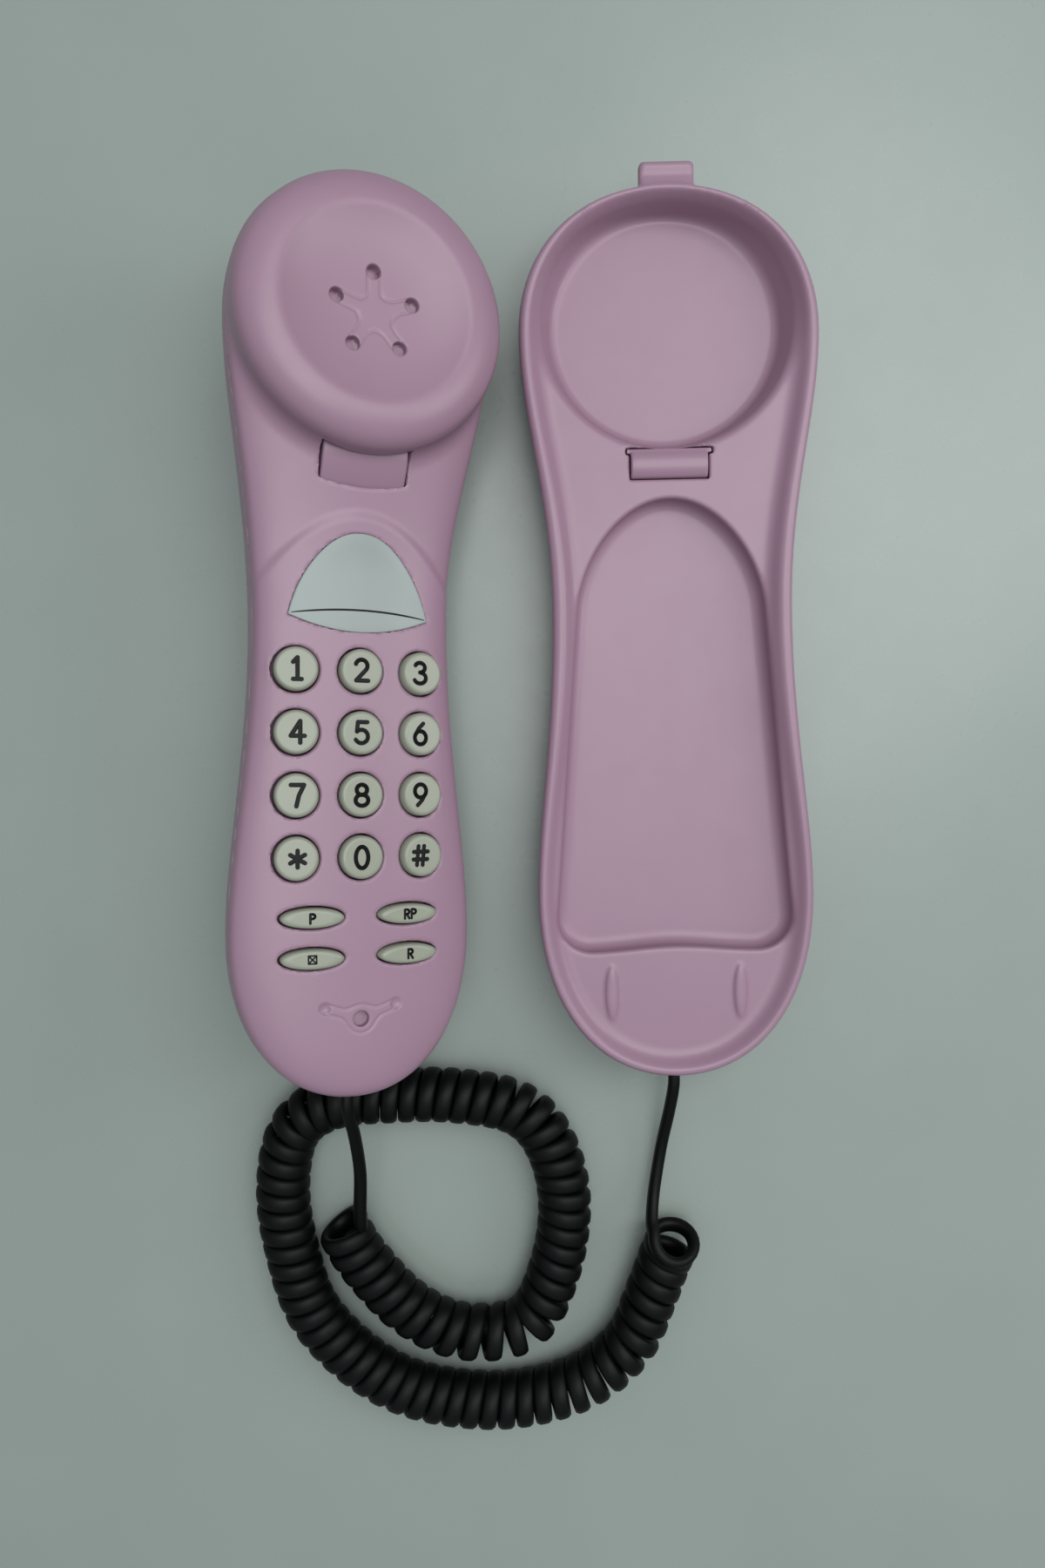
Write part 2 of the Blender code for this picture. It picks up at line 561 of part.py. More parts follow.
def make_cradle(frame):
    deck = CRADLE_HEIGHT - RIM_ABOVE_DECK
    foot = COVER_GROUND_GAP
    outer = outline(CRADLE)
    inner = outline(RECESS)
    body = bmesh.new()
    add_loft(body, [
        at_height(outline(CRADLE, CRADLE_DRAFT + 0.8 * MM), foot),
        at_height(outline(CRADLE, CRADLE_DRAFT), foot + 0.8 * MM),
        at_height(outline(CRADLE, 0.35 * CRADLE_DRAFT), foot + 0.4 * (deck - foot)),
        at_height(outer, CRADLE_HEIGHT - 1.4 * MM),
        at_height(between(outer, inner, 0.15), CRADLE_HEIGHT - 0.45 * MM),
        at_height(between(outer, inner, 0.5), CRADLE_HEIGHT),
        at_height(between(outer, inner, 0.85), CRADLE_HEIGHT - 0.4 * MM),
        at_height(inner, CRADLE_HEIGHT - 1.2 * MM),
        at_height(outline(RECESS, 0.4 * MM), deck + 0.5 * MM),
        at_height(outline(RECESS, DECK_FILLET), deck),
    ])
    cradle = mesh_object("base_cradle", body, frame)

    lug = bmesh.new()
    lug_top = CRADLE_HEIGHT - 1.6 * MM
    add_box(lug, (-LUG_WIDTH / 2, CRADLE.top - 3 * MM, lug_top - LUG_THICKNESS),
            (LUG_WIDTH / 2, CRADLE.top + LUG_REACH, lug_top))
    edges = [edge for edge in lug.edges if all(v.co.y > CRADLE.top for v in edge.verts)
             and abs(edge.verts[0].co.x - edge.verts[1].co.x) < GAP]
    bmesh.ops.bevel(lug, geom=edges, offset=1.2 * MM, segments=3, affect="EDGES")
    boolean(cradle, mesh_object("lug", lug, frame), "UNION")

    ribs = bmesh.new()
    for side in (-1, 1):
        matrix = (Matrix.Translation((side * RIB_X, RIB_Y, deck - 0.3 * MM))
                  @ Matrix.Diagonal((RIB_WIDTH, RIB_LENGTH, 2 * (RIB_HEIGHT + 0.3 * MM), 1)))
        bmesh.ops.create_uvsphere(ribs, u_segments=16, v_segments=8, radius=0.5, matrix=matrix)
    boolean(cradle, mesh_object("pad_ribs", ribs, frame), "UNION")

    boolean(cradle, cradle_cavity(frame))

    cup = bmesh.new()
    add_loft(cup, cup_rings(0, 0))
    cup_tool = mesh_object("cup", cup, frame)
    limit = bmesh.new()
    deck_edge = outline(RECESS, DECK_FILLET + 0.2 * MM)
    add_loft(limit, [at_height(deck_edge, 0), at_height(deck_edge, 2 * CRADLE_HEIGHT)])
    boolean(cup_tool, mesh_object("cup_limit", limit, frame), "INTERSECT")
    boolean(cradle, cup_tool)

    hollow = bmesh.new()
    add_loft(hollow, hollow_rings(0, 0), cap_last=False)
    boolean(cradle, mesh_object("hollow", hollow, frame))

    cuts = bmesh.new()
    top = deck + 0.5 * MM
    bottom = deck - HOOK_DEPTH - GAP
    ear_y = HOOK_LOW_Y + HOOK_REACH - HOOK_EAR_THICKNESS
    add_box(cuts, (-HOOK_WIDTH / 2 - GAP, HOOK_LOW_Y - GAP, bottom),
            (HOOK_WIDTH / 2 + GAP, HOOK_LOW_Y + HOOK_REACH + GAP, top))
    boolean(cradle, mesh_object("hook_slot", cuts, frame))
    ears = bmesh.new()
    add_box(ears, (-HOOK_WIDTH / 2 - HOOK_EAR - GAP, ear_y - 2 * GAP, bottom),
            (HOOK_WIDTH / 2 + HOOK_EAR + GAP, ear_y + HOOK_EAR_THICKNESS - GAP, top))
    boolean(cradle, mesh_object("hook_ear_slot", ears, frame))

    mouths = bmesh.new()
    middle = jack_heights()[1]
    add_box(mouths, (-PLUG_WIDTH / 2 - GAP, CRADLE.bottom - 1 * MM, middle - PLUG_HEIGHT / 2 - GAP),
            (PLUG_WIDTH / 2 + GAP, handset_jack_y(), middle + PLUG_HEIGHT / 2 + GAP))
    add_box(mouths,
            (LINE_JACK_X - LINE_SOCKET_WIDTH / 2, CRADLE.bottom - 1 * MM, middle - LINE_SOCKET_HEIGHT / 2),
            (LINE_JACK_X + LINE_SOCKET_WIDTH / 2, LINE_JACK_Y, middle + LINE_SOCKET_HEIGHT / 2))
    boolean(cradle, mesh_object("jack_mouths", mouths, frame))
    return show(cradle, "pink_plastic")


def jack_heights():
    """Underside, sockets' middle and top of both jacks, which fill the room under the deck."""
    low = COVER_GROUND_GAP + COVER_THICKNESS + GAP + BOARD_THICKNESS + GAP
    top = CRADLE_HEIGHT - RIM_ABOVE_DECK - DECK_WALL - GAP
    floor = JACK_FLOOR_SHARE * (top - low - LINE_SOCKET_HEIGHT)
    return low, low + floor + LINE_SOCKET_HEIGHT / 2, top


def handset_jack_y():
    """Front face of the cradle's handset jack, just inside the end wall."""
    return CRADLE.bottom + CRADLE_DRAFT + CRADLE_WALL


def cradle_cavity(frame):
    """The space under the deck, less the bosses and the walls round the cup, hollow and hook slot."""
    deck = CRADLE_HEIGHT - RIM_ABOVE_DECK
    foot = COVER_GROUND_GAP
    bm = bmesh.new()
    inset = CRADLE_WALL + CRADLE_DRAFT
    add_loft(bm, [
        at_height(outline(CRADLE, inset + 0.2 * MM), foot - 1 * MM),
        at_height(outline(CRADLE, inset + 0.2 * MM), foot + 0.5 * MM),
        at_height(outline(CRADLE, inset - 0.4 * MM), foot + 1.4 * MM),
        at_height(outline(CRADLE, CRADLE_WALL + 0.35 * CRADLE_DRAFT), foot + 0.4 * (deck - foot)),
        at_height(outline(CRADLE, CRADLE_WALL + 0.15 * CRADLE_DRAFT), deck - DECK_WALL),
    ])
    cavity = mesh_object("cradle_cavity", bm, frame)
    for name, rings, capped in (("cup_wall", cup_rings(DECK_WALL, DECK_WALL), True),
                                ("hollow_wall", hollow_rings(DECK_WALL, DECK_WALL), False)):
        wall = bmesh.new()
        add_loft(wall, rings, cap_last=capped)
        boolean(cavity, mesh_object(name, wall, frame))
    slot = bmesh.new()
    reach = HOOK_WIDTH / 2 + HOOK_EAR + GAP + DECK_WALL
    add_box(slot, (-reach, HOOK_LOW_Y - GAP - DECK_WALL, deck - HOOK_DEPTH - GAP - DECK_WALL),
            (reach, HOOK_LOW_Y + HOOK_REACH + DECK_WALL, deck))
    boolean(cavity, mesh_object("hook_slot_wall", slot, frame))
    bosses = bmesh.new()
    pilots = bmesh.new()
    low = foot + COVER_THICKNESS + GAP
    for x, y in CRADLE_SCREWS:
        add_cylinder(bosses, x, y, low, deck, BOSS_RADIUS, 16)
        add_cylinder(pilots, x, y, low - 1 * MM, low + SCREW_LENGTH, SCREW_RADIUS + GAP, 12)
    boolean(cavity, mesh_object("cradle_bosses", bosses, frame))
    boolean(cavity, mesh_object("cradle_pilots", pilots, frame), "UNION")
    return cavity


def make_cover(frame):
    low = COVER_GROUND_GAP
    high = low + COVER_THICKNESS
    bm = bmesh.new()
    inset = CRADLE_WALL + CRADLE_DRAFT + 0.2 * MM + GAP
    add_loft(bm, [at_height(outline(CRADLE, inset), low), at_height(outline(CRADLE, inset), high)])
    cover = mesh_object("base_bottom_cover", bm, frame)
    holes = bmesh.new()
    sinks = bmesh.new()
    for x, y in CRADLE_SCREWS:
        add_cylinder(holes, x, y, low - 1 * MM, high + 1 * MM, SCREW_RADIUS + GAP, 12)
        add_cylinder(sinks, x, y, low - 1 * MM, low + SCREW_HEAD_HEIGHT, SCREW_HEAD_RADIUS + GAP, 16)
    boolean(cover, mesh_object("cover_holes", holes, frame))
    boolean(cover, mesh_object("cover_sinks", sinks, frame))
    rounds = bmesh.new()
    slots = bmesh.new()
    for y in KEYHOLE_YS:
        add_cylinder(rounds, 0, y, low - 1 * MM, high + 1 * MM, KEYHOLE_RADIUS, 20)
        add_box(slots, (-KEYHOLE_SLOT_WIDTH / 2, y, low - 1 * MM),
                (KEYHOLE_SLOT_WIDTH / 2, y + KEYHOLE_SLOT_REACH, high + 1 * MM))
    boolean(cover, mesh_object("keyhole_rounds", rounds, frame))
    boolean(cover, mesh_object("keyhole_slots", slots, frame))
    show(cover, "pink_plastic")

    for index, (x, y) in enumerate(CRADLE_SCREWS):
        screw = bmesh.new()
        add_screw(screw, x, y, low, SCREW_HEAD_HEIGHT, low + SCREW_HEAD_HEIGHT + SCREW_LENGTH - GAP)
        show(mesh_object(f"base_cover_screw_{index + 1}", screw, frame), "steel")

    places = [(x, y) for x in (-FOOT_X, FOOT_X) for y in (FOOT_UPPER_Y, FOOT_LOWER_Y)]
    for index, (x, y) in enumerate(places):
        foot = bmesh.new()
        add_cylinder(foot, x, y, 0, FOOT_HEIGHT, FOOT_RADIUS, 24)
        show(mesh_object(f"base_foot_{index + 1}", foot, frame), "rubber")

    weight = bmesh.new()
    middle = Vector((0, WEIGHT_Y, high + GAP + WEIGHT_SIZE.z / 2))
    add_box(weight, middle - WEIGHT_SIZE / 2, middle + WEIGHT_SIZE / 2)
    show(mesh_object("base_weight", weight, frame), "steel")


def add_screw(bm, x, y, low, head, tip):
    """Pan-headed screw pointing up, as one turned body."""
    shoulder = low + head - GAP
    add_loft(bm, [circle(x, y, SCREW_HEAD_RADIUS, low, 12), circle(x, y, SCREW_HEAD_RADIUS, shoulder, 12),
                  circle(x, y, SCREW_RADIUS, shoulder, 12), circle(x, y, SCREW_RADIUS, tip, 12)])


def make_hook_tab(frame):
    deck = CRADLE_HEIGHT - RIM_ABOVE_DECK
    low = deck - HOOK_DEPTH
    top = deck + HOOK_PROUD
    y0 = HOOK_LOW_Y
    y1 = HOOK_LOW_Y + HOOK_REACH
    profile = [(y0, low), (y0, deck - 1.6 * MM), (y0 + 0.12 * HOOK_REACH, deck - 0.7 * MM),
               (y0 + 0.32 * HOOK_REACH, top - 0.3 * MM), (y0 + 0.5 * HOOK_REACH, top),
               (y0 + 0.7 * HOOK_REACH, top - 0.35 * MM), (y1, deck - 0.7 * MM), (y1, low)]
    bm = bmesh.new()
    add_extrusion(bm, profile, -HOOK_WIDTH / 2, HOOK_WIDTH / 2)
    tab = mesh_object("wall_hook_tab", bm, frame)
    ears = bmesh.new()
    reach = HOOK_WIDTH / 2 + HOOK_EAR
    add_box(ears, (-reach, y1 - HOOK_EAR_THICKNESS - GAP, low), (reach, y1 - 2 * GAP, deck - 0.4 * MM))
    boolean(tab, mesh_object("hook_ears", ears, frame), "UNION")
    show(tab, "pink_plastic")


def add_extrusion(bm, profile, low_x, high_x):
    """A profile of (y, z) drawn along X."""
    add_loft(bm, [[(low_x, y, z) for y, z in profile], [(high_x, y, z) for y, z in profile]])


def make_cradle_electrics(frame):
    low = COVER_GROUND_GAP + COVER_THICKNESS + GAP
    board_top = low + BOARD_THICKNESS
    jack_low, middle, top = jack_heights()
    half = PLUG_WIDTH / 2 + GAP + JACK_WALL
    line_half = LINE_SOCKET_WIDTH / 2 + JACK_WALL - 0.4 * MM
    front = handset_jack_y() + 3 * MM
    points = [(LINE_JACK_X - line_half, LINE_JACK_Y + 1 * MM), (LINE_JACK_X - line_half, LINE_JACK_Y + 14 * MM),
              (half + 2 * MM, LINE_JACK_Y + 14 * MM), (half + 2 * MM, front), (-half, front),
              (-half, LINE_JACK_Y + 1 * MM)]
    show(plate("base_terminal_board", points, low, board_top, frame), "board")

    jack = bmesh.new()
    y = handset_jack_y() + GAP
    add_box(jack, (-half, y, jack_low), (half, y + JACK_LENGTH, top))
    body = mesh_object("base_handset_jack", jack, frame)
    socket = bmesh.new()
    add_box(socket, (-PLUG_WIDTH / 2 - GAP, y - 1 * MM, middle - PLUG_HEIGHT / 2 - GAP),
            (PLUG_WIDTH / 2 + GAP, y + PLUG_LENGTH, middle + PLUG_HEIGHT / 2 + GAP))
    boolean(body, mesh_object("base_plug_socket", socket, frame))
    show(body, "black_plastic")

    line = bmesh.new()
    y = LINE_JACK_Y + GAP
    add_box(line, (LINE_JACK_X - line_half, y, jack_low), (LINE_JACK_X + line_half, y + JACK_LENGTH, top))
    line_body = mesh_object("base_line_jack", line, frame)
    hole = bmesh.new()
    add_box(hole, (LINE_JACK_X - LINE_SOCKET_WIDTH / 2, y - 1 * MM, middle - LINE_SOCKET_HEIGHT / 2),
            (LINE_JACK_X + LINE_SOCKET_WIDTH / 2, y + JACK_LENGTH - 2 * MM, middle + LINE_SOCKET_HEIGHT / 2))
    boolean(line_body, mesh_object("line_socket", hole, frame))
    show(line_body, "black_plastic")


# ---------------------------------------------------------------- handset shells
def dome_profile(grow, dish=True):
    """Earpiece dome, from its axis outwards and down into the body; grow is negative for its inside."""
    body = lift(DOME_Y)
    top = body + FACE_HEIGHT + DOME_HEIGHT + grow
    radius = DOME_RADIUS + grow
    edge = DISH_RADIUS + 0.6 * MM
    if dish:
        shares = (0, 0.3, 0.55, 0.8, 0.95, 1)
        points = [(share * edge, top - DISH_DEPTH * (1 - share * share)) for share in shares]
        points.append((edge + 1 * MM, top + 0.1 * MM))
    else:
        points = [(0, top - DISH_DEPTH), (DISH_RADIUS, top - DISH_DEPTH)]
        top -= 0.5 * DISH_DEPTH
    arcs = 5
    inner = radius - DOME_ROUND
    for step in range(arcs + 1):
        turn = math.pi / 2 * (1 - step / arcs)
        points.append((inner + DOME_ROUND * math.cos(turn), top - DOME_ROUND_DROP * (1 - math.sin(turn))))
    foot = body + DOME_FOOT - 0.7 * grow
    points.append((DOME_FOOT_RADIUS + grow, foot))
    points.append((0, foot))
    return points


def make_front_shell(frame):
    shell = shell_body("handset_front_shell", front_rings(0), GAP / 2, frame)
    boolean(shell, turned("dome", dome_profile(0), 0, DOME_Y, 40, frame), "UNION")
    cavity = shell_body("front_cavity", front_rings(SHELL_WALL), -1 * MM, frame)
    posts = bmesh.new()
    for x, y in HANDSET_SCREWS:
        add_cylinder(posts, x, y, GAP / 2, FACE_HEIGHT, BOSS_RADIUS, 14)
    boolean(cavity, bend(mesh_object("front_posts", posts, frame)))
    ears = bmesh.new()
    slot_half = LEVER_HALF_WIDTH + LEVER_CLEARANCE
    for side in (-1, 1):
        inner_x = side * (slot_half - GAP)
        outer_x = side * (slot_half + LEVER_EAR)
        add_box(ears, (min(inner_x, outer_x), LEVER_PIN.y - 2.6 * MM, LEVER_PIN.z - 2.6 * MM),
                (max(inner_x, outer_x), LEVER_PIN.y + 2.6 * MM, FACE_HEIGHT))
    boolean(cavity, bend(mesh_object("lever_ears", ears, frame)))
    boolean(shell, cavity)
    boolean(shell, turned("dome_inside", dome_profile(-SHELL_WALL, False), 0, DOME_Y, 32, frame))

    wells = bmesh.new()
    for column in (-1, 0, 1):
        for row in range(4):
            add_cylinder(wells, column * KEY_PITCH_X, KEY_BLOCK_Y + (1.5 - row) * KEY_PITCH_Y, 3 * MM,
                         FACE_HEIGHT - SHELL_WALL, KEY_RADIUS + KEY_CLEARANCE + FLANGE_WIDTH + GAP, 14)
    length = OVAL_HALF_LENGTH + KEY_CLEARANCE + FLANGE_WIDTH + GAP
    squash = (length - OVAL_HALF_LENGTH + OVAL_HALF_WIDTH) / length
    for y in OVAL_YS:
        for side in (-1, 1):
            add_loft(wells, [circle(side * OVAL_X, y, length, 4.4 * MM, 16, squash),
                             circle(side * OVAL_X, y, length, FACE_HEIGHT - SHELL_WALL, 16, squash)])
    well_tool = mesh_object("key_wells", wells, frame)
    drape(well_tool)
    boolean(shell, well_tool)

    holes = bmesh.new()
    for x, y in HANDSET_SCREWS:
        add_cylinder(holes, x, y, -1 * MM, FACE_HEIGHT - 3.4 * MM, SCREW_RADIUS + GAP, 10)
    for column in (-1, 0, 1):
        for row in range(4):
            add_cylinder(holes, column * KEY_PITCH_X, KEY_BLOCK_Y + (1.5 - row) * KEY_PITCH_Y, 0,
                         FACE_HEIGHT + 2 * MM, KEY_RADIUS + KEY_CLEARANCE, 16)
    for y in OVAL_YS:
        for side in (-1, 1):
            squash = (OVAL_HALF_WIDTH + KEY_CLEARANCE) / (OVAL_HALF_LENGTH + KEY_CLEARANCE)
            length = OVAL_HALF_LENGTH + KEY_CLEARANCE
            add_loft(holes, [circle(side * OVAL_X, y, length, 0, 18, squash),
                             circle(side * OVAL_X, y, length, FACE_HEIGHT + 2 * MM, 18, squash)])
    add_cylinder(holes, 0, MIC_Y, 0, FACE_HEIGHT + 2 * MM, MIC_HOLE_RADIUS, 14)
    for side in (-1, 1):
        x = side * MIC_DIMPLE.x
        y = MIC_Y + MIC_DIMPLE.y
        add_cylinder(holes, x, y, face_z(x) - MIC_DIMPLE_DEPTH, FACE_HEIGHT + 2 * MM, MIC_DIMPLE_RADIUS, 12)
    dome_top = FACE_HEIGHT + DOME_HEIGHT
    for index in range(SOUND_HOLES):
        turn = SOUND_TURN + 2 * math.pi * index / SOUND_HOLES
        add_cylinder(holes, SOUND_RING_RADIUS * math.cos(turn), SOUND_Y + SOUND_RING_RADIUS * math.sin(turn),
                     dome_top - 7 * MM, dome_top + 1 * MM, SOUND_HOLE_RADIUS, 12)
    boolean(shell, bend(mesh_object("front_holes", holes, frame)))

    slot = lever_slot(frame)
    boolean(shell, slot)
    pin = bmesh.new()
    reach = slot_half + LEVER_EAR - 0.5 * MM
    add_rod(pin, LEVER_PIN.y, lever_pin().z, -reach, reach, LEVER_PIN_RADIUS + GAP)
    boolean(shell, mesh_object("pin_hole", pin, frame))

    seat = plate("label_seat", label_outline(-GAP), 0, 3 * MM, frame)
    for vertex in seat.data.vertices:
        vertex.co.z += face_z(vertex.co.x) - LABEL_SUNK
    boolean(shell, bend(seat))
    return show(shell, "pink_plastic")


def lever_slot(frame):
    """The lever's opening: straight sides, and a lower edge concentric with the dome."""
    half = LEVER_HALF_WIDTH + LEVER_CLEARANCE
    radius = DOME_Y - (LEVER_PIN.y - LEVER_REACH - LEVER_SWING_GAP)
    top = LEVER_PIN.y + 2.57 * MM
    points = [(-half, top), (half, top)]
    spread = math.asin(half / radius)
    for step in range(7):
        turn = spread * (1 - step / 3)
        points.append((radius * math.sin(turn), DOME_Y - radius * math.cos(turn)))
    return bend(plate("lever_slot", points, 1.5 * MM, FACE_HEIGHT + LEVER_PROUD + GAP, frame))


def label_outline(inset):
    """A rounded triangle: a tall arch over a shallow bowed foot."""
    half = LABEL_CORNER.x
    height = LABEL_TOP_Y - inset - LABEL_CORNER.y
    right = []
    for share in (0, 0.15, 0.3, 0.45, 0.6, 0.72, 0.82, 0.9, 0.96, 1):
        drop = 0.85 * share ** 2.15 + 0.15 * share ** 12
        right.append((share * (half - inset), LABEL_CORNER.y + height * (1 - drop)))
    points = [(-x, y) for x, y in reversed(right[1:])] + right
    for step in range(1, 6):
        share = 1 - step / 3
        x = share * (half - inset)
        y = LABEL_BOTTOM_Y + inset + (LABEL_CORNER.y - LABEL_BOTTOM_Y - inset) * share * share
        points.append((x, y))
    return points


def make_back_shell(frame):
    shell = shell_body("handset_back_shell", back_rings(0), -GAP / 2, frame)
    cavity = shell_body("back_cavity", back_rings(SHELL_WALL), 1 * MM, frame)
    posts = bmesh.new()
    for x, y in HANDSET_SCREWS:
        add_cylinder(posts, x, y, back_z(y), -GAP / 2, BOSS_RADIUS + 0.8 * MM, 14)
    boolean(cavity, bend(mesh_object("back_posts", posts, frame)))
    ring = bmesh.new()
    seat = back_z(RINGER_Y) + SHELL_WALL + RINGER_SEAT
    add_cylinder(ring, 0, RINGER_Y, back_z(RINGER_Y), seat, RINGER_RADIUS + 0.8 * MM, 24)
    seat_ring = mesh_object("ringer_seat", ring, frame)
    core = bmesh.new()
    add_cylinder(core, 0, RINGER_Y, back_z(RINGER_Y) - 1 * MM, seat + 1 * MM, RINGER_RADIUS - 1 * MM, 24)
    boolean(seat_ring, mesh_object("ringer_seat_core", core, frame))
    boolean(cavity, seat_ring)
    ribs = bmesh.new()
    for y in (BAR_Y - 0.3 * BAR_SIZE.y, BAR_Y + 0.3 * BAR_SIZE.y):
        add_box(ribs, (-BAR_SIZE.x / 2 - 2 * MM, y - 0.8 * MM, back_z(y)),
                (BAR_SIZE.x / 2 + 2 * MM, y + 0.8 * MM, bar_low_z() - GAP))
    boolean(cavity, mesh_object("bar_ribs", ribs, frame))
    boolean(shell, cavity)

    cuts = bmesh.new()
    for x, y in HANDSET_SCREWS:
        add_cylinder(cuts, x, y, back_z(y) - 2 * MM, -HANDSET_SCREW_DEPTH, SCREW_HEAD_RADIUS + GAP, 14)
    boolean(shell, bend(mesh_object("back_sinks", cuts, frame)))
    shanks = bmesh.new()
    for x, y in HANDSET_SCREWS:
        add_cylinder(shanks, x, y, -HANDSET_SCREW_DEPTH - 1 * MM, 1 * MM, SCREW_RADIUS + GAP, 10)
    add_cylinder(shanks, 0, RINGER_Y, back_z(RINGER_Y) - 1 * MM, seat, 1.1 * MM, 10)
    for index in range(6):
        turn = math.pi / 3 * index
        add_cylinder(shanks, 4.5 * MM * math.cos(turn), RINGER_Y + 4.5 * MM * math.sin(turn),
                     back_z(RINGER_Y) - 1 * MM, seat, 1.1 * MM, 10)
    boolean(shell, bend(mesh_object("back_holes", shanks, frame)))
    mouth = bmesh.new()
    middle = plug_middle_z()
    add_box(mouth, (-PLUG_WIDTH / 2 - GAP, HANDSET.bottom - 1 * MM, middle - PLUG_HEIGHT / 2 - GAP),
            (PLUG_WIDTH / 2 + GAP, HANDSET.bottom + HANDSET_JACK_DEPTH, 1 * MM))
    boolean(shell, mesh_object("plug_mouth", mouth, frame))
    return show(shell, "pink_plastic")


def bar_low_z():
    return back_z(BAR_Y - BAR_SIZE.y / 2) + SHELL_WALL + 3 * MM


def plug_middle_z():
    """Height of the handset plug's middle, under the parting line."""
    return -GAP - 0.5 * MM - PLUG_HEIGHT / 2


# ---------------------------------------------------------------- keys, label and lever
def key_mesh(name, length, squash, segments, frame):
    """A key about its own axis: flange, stem and rounded cap, in heights of the handset's frame."""
    under = FACE_HEIGHT - SHELL_WALL - GAP
    top = FACE_HEIGHT + KEY_PROUD
    bm = bmesh.new()
    wide = length + KEY_CLEARANCE + FLANGE_WIDTH
    narrow = length * squash + KEY_CLEARANCE + FLANGE_WIDTH
    cap = length - KEY_ROUND
    cap_squash = (length * squash - KEY_ROUND) / cap
    add_loft(bm, [circle(0, 0, wide, under - FLANGE_THICKNESS, segments, narrow / wide),
                  circle(0, 0, wide, under, segments, narrow / wide),
                  circle(0, 0, length, under, segments, squash),
                  circle(0, 0, length, top - KEY_ROUND, segments, squash),
                  circle(0, 0, cap, top, segments, cap_squash)])
    return mesh_object(name, bm, frame)


def make_keys(frame):
    for column in (-1, 0, 1):
        shared = None
        for row in range(4):
            name = KEY_NAMES[row][column + 1]
            if shared is None:
                key = key_mesh(name, KEY_RADIUS, 1, 16, frame)
                key.location = (column * KEY_PITCH_X, 0, 0)
                drape(key)
                shared = key.data
            else:
                key = add_object(name, shared, frame)
            key.location = (column * KEY_PITCH_X, KEY_BLOCK_Y + (1.5 - row) * KEY_PITCH_Y, 0)
            show(key, "ivory_plastic")
    for row, y in enumerate(OVAL_YS):
        for side in (-1, 1):
            key = key_mesh(OVAL_NAMES[row][(side + 1) // 2], OVAL_HALF_LENGTH,
                           OVAL_HALF_WIDTH / OVAL_HALF_LENGTH, 18, frame)
            key.location = (side * OVAL_X, y, 0)
            drape(key)
            show(key, "ivory_plastic")


def make_label(frame):
    label = plate("label_plate", label_outline(0), 0, LABEL_THICKNESS, frame)
    for vertex in label.data.vertices:
        vertex.co.z += face_z(vertex.co.x) - LABEL_SUNK + GAP
    show(bend(label), "label")


def make_lever(frame):
    """Lever about its pin: a curved pad in the face's slot, and an arm that reaches to the switch."""
    top = FACE_HEIGHT + LEVER_PROUD - LEVER_PIN.z
    bm = bmesh.new()
    reach = LEVER_REACH
    profile = [(2 * MM, top - 1.6 * MM), (-0.2 * reach, top - 0.5 * MM), (-0.45 * reach, top),
               (-0.7 * reach, top - 0.25 * MM), (-0.92 * reach, top - 1 * MM), (-reach, top - 2.2 * MM),
               (-reach, top - 3.6 * MM), (-reach + LEVER_THICKNESS, top - 3.6 * MM),
               (-reach + LEVER_THICKNESS, top - 2.6 * MM), (-0.45 * reach, top - LEVER_THICKNESS),
               (0.6 * MM, 0), (2 * MM, 0)]
    half = LEVER_HALF_WIDTH
    add_extrusion(bm, profile, -half, half)
    lever = bend(mesh_object("hook_lever", bm, frame), LEVER_PIN.y)
    barrel = bmesh.new()
    add_rod(barrel, 0, 0, -half, half, LEVER_PIN_RADIUS + GAP + 1 * MM, 14)
    boolean(lever, mesh_object("lever_barrel", barrel, frame), "UNION")
    edge = DOME_Y - (LEVER_PIN.y - LEVER_REACH)
    trim = turned("lever_trim", [(0, 12 * MM), (edge, 12 * MM), (edge, -6 * MM), (0, -6 * MM)],
                  0, DOME_Y - LEVER_PIN.y, 120, frame)
    boolean(lever, trim, "INTERSECT")
    arm = bmesh.new()
    add_box(arm, (-2 * MM, -reach - 5.5 * MM, top - 5.4 * MM), (2 * MM, -reach + LEVER_THICKNESS, top - 3.4 * MM))
    boolean(lever, bend(mesh_object("lever_arm", arm, frame), LEVER_PIN.y), "UNION")
    bore = bmesh.new()
    add_rod(bore, 0, 0, -half - 1 * MM, half + 1 * MM, LEVER_PIN_RADIUS + GAP, 14)
    boolean(lever, mesh_object("lever_bore", bore, frame))
    for name in ("hook_lever", "lever_barrel", "lever_trim", "lever_arm", "lever_bore"):
        item = bpy.data.objects[name]
        item.location = item.location + lever_pin()
    show(lever, "pink_plastic")

    pin = bmesh.new()
    pin_reach = half + LEVER_CLEARANCE + LEVER_EAR - 0.5 * MM - GAP
    add_rod(pin, LEVER_PIN.y, lever_pin().z, -pin_reach, pin_reach, LEVER_PIN_RADIUS, 14)
    show(mesh_object("hook_lever_pin", pin, frame), "steel")


